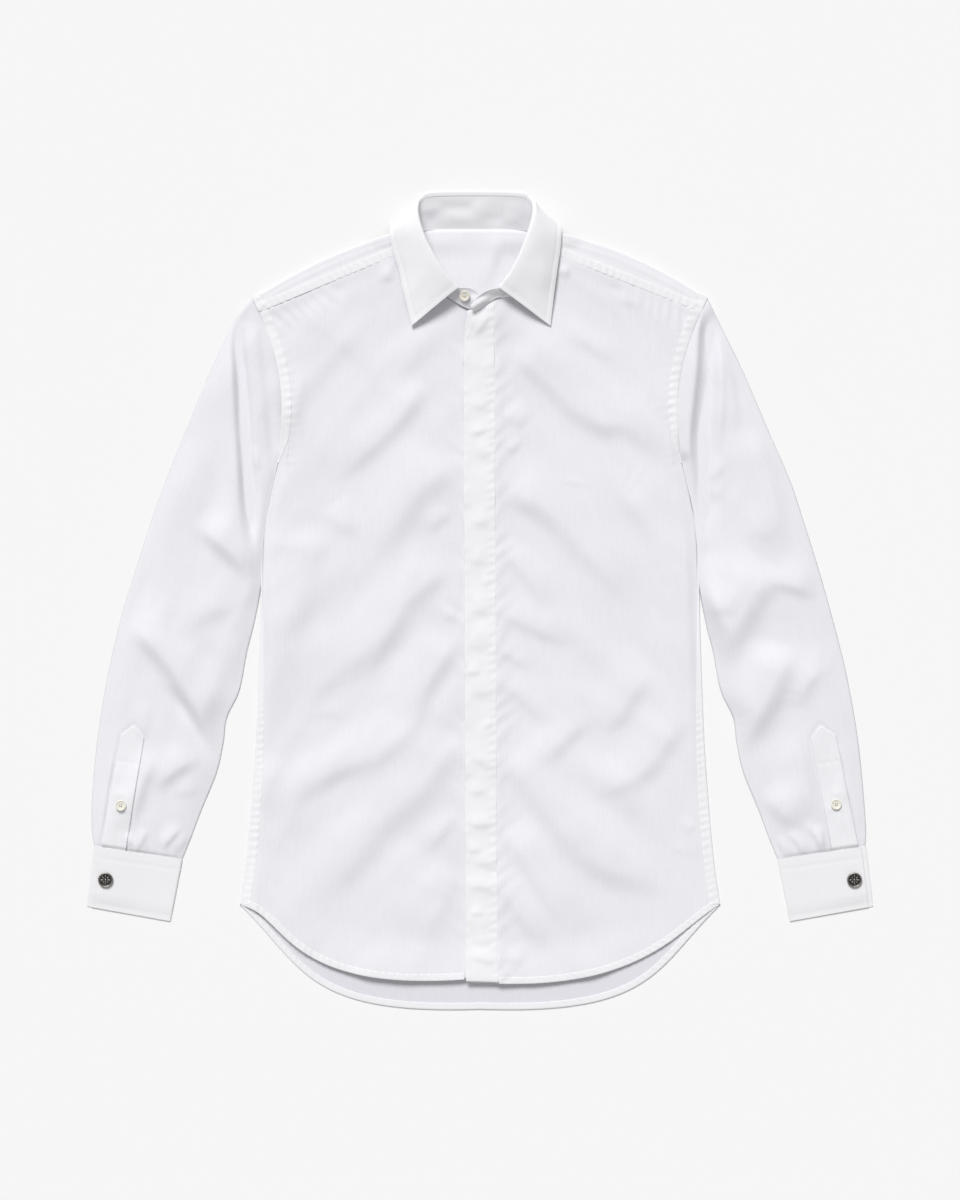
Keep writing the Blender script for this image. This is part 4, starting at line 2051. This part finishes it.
@dataclass
class ShirtButton:
    """A four-hole shell button, sewn on with crossed thread."""

    name: str
    seat: Triple
    normal: Triple
    wardrobe: Wardrobe
    radius: float = 5.4
    thick: float = 2.2
    hole_radius: float = 0.62
    hole_offset: float = 1.2
    shank: float = 1.0
    dish: float = 0.85
    thread_radius: float = 0.2
    shank_radius: float = 0.26

    def placing(self) -> Matrix:
        """The button's place and turn."""
        turn = Vector(self.normal).to_track_quat("Z", "Y").to_matrix().to_4x4()
        return Matrix.Translation(Vector(self.seat) * MM) @ turn

    def make(self) -> Piece:
        """The shell, with its rim, its dished middle and its four holes."""
        r, t = self.radius, self.thick
        rim = [(r - 1.5 + 0.75 * (1 - math.cos(a)), t - 0.55 + 0.55 * math.sin(a))
               for a in np.linspace(0.0, math.pi / 2, 6)]
        edge = [(r - 0.75 + 0.75 * math.sin(a), t - 0.85 + 0.85 * math.cos(a))
                for a in np.linspace(0.25, math.pi / 2, 5)]
        under = [(r - 0.2, 0.7), (r - 0.9, 0.15), (r - 1.6, 0.0)]
        dish = [(0.0, t - self.dish), (r - 3.0, t - 0.82), (r - 2.2, t - 0.7)]
        profile = [*dish, *rim, *edge, *under, (0.0, 0.0)]
        piece = turned(f"{self.name}_shell", profile, 56)
        cutters = []
        for index in range(4):
            angle = math.pi / 4 + index * math.pi / 2
            hole = self.hole_radius
            bore = turned("bore", [(0.0, 2 * t), (hole, 2 * t), (hole, -t), (0.0, -t)], 16)
            offset = self.hole_offset * Vector((math.cos(angle), math.sin(angle), 0.0))
            bore.data.transform(Matrix.Translation(offset * MM))
            cut = piece.modifiers.new("hole", "BOOLEAN")
            cut.object, cut.operation = bore, "DIFFERENCE"
            cutters.append(bore)
        plain_mesh(piece)
        for bore in cutters:
            bpy.data.objects.remove(bore)
        piece.data.transform(self.placing())
        piece.data.shade_smooth()
        piece.data.set_sharp_from_angle(angle=math.radians(38.0))
        piece.data.materials.clear()
        piece.data.materials.append(self.wardrobe.pearl)
        return declare(piece, Slot.PEARL, self.name)

    def make_thread(self) -> Piece:
        """Two crossed pairs of thread through the holes, and the shank below."""
        h = self.hole_offset / math.sqrt(2.0)
        tubes = []
        for start, end, lift in (((-h, -h), (h, h), 0.34), ((-h, h), (h, -h), 0.62)):
            for shift in (-0.16, 0.16):
                run = evenly(13)
                side = unit(np.array([end[1] - start[1], start[0] - end[0]])) * shift
                line = np.array(start) + np.outer(run, np.subtract(end, start)) + side
                rise = self.thick - self.dish + lift * np.sin(math.pi * run) ** 0.6
                rise -= 1.2 * (np.abs(run - 0.5) > 0.49)
                tubes.append(bent_tube(np.column_stack([line, rise]), self.thread_radius))
        for angle in np.linspace(0.0, 2 * math.pi, 5)[:-1]:
            centre = 0.45 * np.array([math.cos(angle), math.sin(angle)])
            line = np.array([(*centre, 0.6), (*(centre * 0.8), -0.4), (*(centre * 1.3), -self.shank)])
            tubes.append(bent_tube(line, self.shank_radius))
        points, faces = np.vstack([tube for tube, _ in tubes]), []
        for i, (_, quads) in enumerate(tubes):
            before = sum(len(tube) for tube, _ in tubes[:i])
            faces += [[before + corner for corner in quad] for quad in quads]
        piece = make_piece(f"{self.name}_thread", points, faces, self.wardrobe.thread)
        turn_outwards(piece)
        piece.data.transform(self.placing())
        return declare(piece, Slot.PEARL, self.name)


@dataclass
class CuffLink:
    """A round link: a rimmed head with a plain rosette of rays, a post and a foot."""

    side: Side
    wardrobe: Wardrobe
    cuff: Cuff
    head_radius: float = 7.5
    head_thick: float = 2.8
    post_radius: float = 1.7
    foot_radius: float = 5.0
    foot_thick: float = 1.2
    rays: int = 8
    grains: int = 24
    bead_sink: float = 0.62
    ground: float = 0.75

    def make(self) -> Piece:
        """The link, with a shade mark on its hollow ground."""
        x, y = self.cuff.link_at[0] * self.side.value, self.cuff.link_at[1]
        under = float(self.cuff.top(np.array([[x, y]]))[0]) + 0.1
        top = under + self.head_thick
        r = self.head_radius
        profile = [
            (0.0, top - self.ground), (r - 2.0, top - self.ground),
            (r - 1.75, top - 0.7), (r - 1.45, top - 0.25),
            (r - 1.2, top - 0.05), (r - 0.8, top), (r - 0.4, top - 0.1), (r - 0.1, top - 0.4),
            (r, top - 0.9), (r - 0.1, top - 1.7), (r - 0.7, top - 2.3), (r - 1.6, under),
            (self.post_radius, under), (self.post_radius, self.foot_thick),
            (self.foot_radius - 0.3, self.foot_thick), (self.foot_radius, self.foot_thick - 0.4),
            (self.foot_radius, 0.3), (self.foot_radius - 0.3, 0.05), (0.0, 0.05),
        ]
        piece = turned(f"cuff_link_{self.side.word}_metal", profile, 72)
        with reshaped(piece.data) as shape:
            for index in range(self.rays):
                angle = 2 * math.pi * index / self.rays
                out, length = ((3.4, 2.0), (3.0, 1.5))[index % 2]
                self.add_bead(shape, angle, out, top, (length, 0.62, 0.6))
            self.add_bead(shape, 0.0, 0.0, top, (1.15, 1.15, 0.6))
            for index in range(self.grains):
                angle = 2 * math.pi * (index + 0.5) / self.grains
                self.add_bead(shape, angle, r - 2.35, top, (0.34, 0.34, 0.34), (8, 6))
            hollow = shape.verts.layers.float.new("hollow")
            for vert in shape.verts:
                away = math.hypot(vert.co.x, vert.co.y) / MM
                depth = min(1.0, max(0.0, (top - 0.1 - vert.co.z / MM) / 0.6))
                vert[hollow] = depth if away < r - 1.4 and vert.co.z > under * MM else 0.12
        piece.data.transform(Matrix.Translation(Vector((x, y, 0.0)) * MM))
        piece.data.shade_smooth()
        piece.data.set_sharp_from_angle(angle=math.radians(50.0))
        piece.data.materials.append(self.wardrobe.metal)
        return declare(piece, Slot.GUNMETAL, f"cuff_link_{self.side.word}")

    def add_bead(
        self, shape: bmesh.types.BMesh, angle: float, out: float, top: float,
        size: Triple, segments: tuple[int, int] = (12, 8),
    ) -> None:
        """Add one bead to the head: a ray of the rosette, its boss or a grain of its ring.

        Args:
            shape: The link's mesh.
            angle: Where it lies round the head.
            out: How far from the middle.
            top: Height of the head.
            size: Its half sizes: outwards, across and up.
            segments: Round it and up it.
        """
        seat = Matrix.Translation((out * MM, 0.0, (top - self.bead_sink) * MM))
        place = Matrix.Rotation(angle, 4, "Z") @ seat @ Matrix.Diagonal((*[s * MM for s in size], 1.0))
        around, up = segments
        bmesh.ops.create_uvsphere(shape, u_segments=around, v_segments=up, radius=1.0, matrix=place)


# ---- the studio


@dataclass
class Studio:
    """The table, the camera straight above it and soft light; its sizes are in metres."""

    half_floor: float = 14.0
    floor_gap: float = 0.0002
    camera_height: float = 4.0
    lens: float = 120.0
    sensor: float = 36.0
    key_strength: float = 2.85
    key_elevation: float = 46.0
    key_spread: float = 24.0
    fill_from: Point = (0.45, -0.9)
    fill_strength: float = 0.36
    fill_elevation: float = 34.0
    fill_spread: float = 60.0
    world_strength: float = 0.36

    def make_floor(self) -> None:
        """The tabletop."""
        mesh = bpy.data.meshes.new("tabletop")
        with reshaped(mesh) as shape:
            bmesh.ops.create_grid(shape, x_segments=2, y_segments=2, size=self.half_floor)
            bmesh.ops.translate(shape, verts=shape.verts, vec=(0.0, 0.0, -self.floor_gap))
        mesh.materials.append(FloorFinish().material())
        show(bpy.data.objects.new("tabletop", mesh))

    def make_camera(self) -> None:
        """The camera, looking straight down with the collar at the top of its view."""
        data = bpy.data.cameras.new("camera")
        data.lens, data.sensor_width = self.lens, self.sensor
        data.clip_end = 50.0
        camera = show(bpy.data.objects.new("camera", data))
        camera.location = (0.0, 0.0, self.camera_height)
        bpy.context.scene.camera = camera

    def add_sun(self, name: str, heading: Array, elevation: float, strength: float, spread: float) -> None:
        """One soft light from far off."""
        data = bpy.data.lights.new(name, "SUN")
        data.energy, data.angle = strength, math.radians(spread)
        lamp = show(bpy.data.objects.new(name, data))
        level = math.cos(math.radians(elevation))
        flat = heading / np.linalg.norm(heading) * level
        towards = Vector((*flat, math.sin(math.radians(elevation))))
        lamp.rotation_mode = "QUATERNION"
        lamp.rotation_quaternion = towards.to_track_quat("Z", "Y")

    def make_light(self) -> None:
        """The key light and the bright room."""
        self.add_sun("key", LIGHT_FROM, self.key_elevation, self.key_strength, self.key_spread)
        fill_from = np.array(self.fill_from)
        self.add_sun("fill", fill_from, self.fill_elevation, self.fill_strength, self.fill_spread)
        world = bpy.data.worlds.new("room")
        world.use_nodes = True
        ground = world.node_tree.nodes["Background"]
        ground.inputs["Color"].default_value = (1.0, 1.0, 1.0, 1.0)
        ground.inputs["Strength"].default_value = self.world_strength
        bpy.context.scene.world = world
        bpy.context.scene.view_settings.view_transform = "Standard"


def main() -> None:
    """Build the shirt in order and report each piece."""
    logging.basicConfig(level=logging.INFO, format="%(message)s")
    studio = Studio()
    studio.make_camera()
    studio.make_floor()
    studio.make_light()
    wardrobe = Wardrobe()
    body, yoke = Body(wardrobe), Yoke(wardrobe)
    seams = Seams(wardrobe, body, yoke)
    fly, collar = Fly(wardrobe, body), Collar(wardrobe)
    stitching = Stitching(wardrobe, body, yoke, seams, fly, collar)

    back_hem = seams.make_back_hem()
    body.make_back()
    edges = [seams.make_yoke_edge(side) for side in Side]
    yoke.make()
    for side in Side:
        trims = [seams.make_armhole(side), seams.make_front_hem(side), seams.make_side_seam(side)]
        body.make_front(side)
    fly.make()
    fly.make_under_ply()
    for side in Side:
        sleeve = Sleeve(side, wardrobe)
        sleeve.make()
        gauntlet = Gauntlet(side, wardrobe, sleeve)
        gauntlet.make()
        cuff = Cuff(side, wardrobe)
        cuff.make()
        CuffLink(side, wardrobe, cuff).make()
        stitching.make_sleeve(gauntlet, cuff)
        x, y = gauntlet.button_at
        ring = np.array([[x, y], [x - 5, y], [x + 5, y], [x, y - 5], [x, y + 5]])
        seat = float(gauntlet.top(ring).max()) + 0.2
        button = ShirtButton(f"button_sleeve_{side.word}", (x, y, seat), (0.0, 0.0, 1.0), wardrobe)
        button.make()
        button.make_thread()
    stitching.make_body()
    collar.make_stand()
    collar.make_leaf()
    stitching.make_collar()
    make_stand_button(wardrobe)


def make_stand_button(wardrobe: Wardrobe) -> None:
    """The button on the stand's right end."""
    share, up, wall, shank = 0.42, 0.56, 1.6, 1.5
    first, second = COLLAR.right_ends[:2]
    base = Vector(first[:3]).lerp(Vector(second[:3]), share)
    top = Vector(first[3:]).lerp(Vector(second[3:]), share)
    run = Vector(second[:3]) - Vector(first[:3])
    normal = (top - base).cross(run).normalized()
    if normal.z < 0.0:
        normal = -normal
    seat = base.lerp(top, up) + normal * (wall + shank)
    button = ShirtButton("button_stand", tuple(seat), tuple(normal), wardrobe, shank=2.4)
    button.make()
    button.make_thread()


if __name__ == "__main__":
    main()
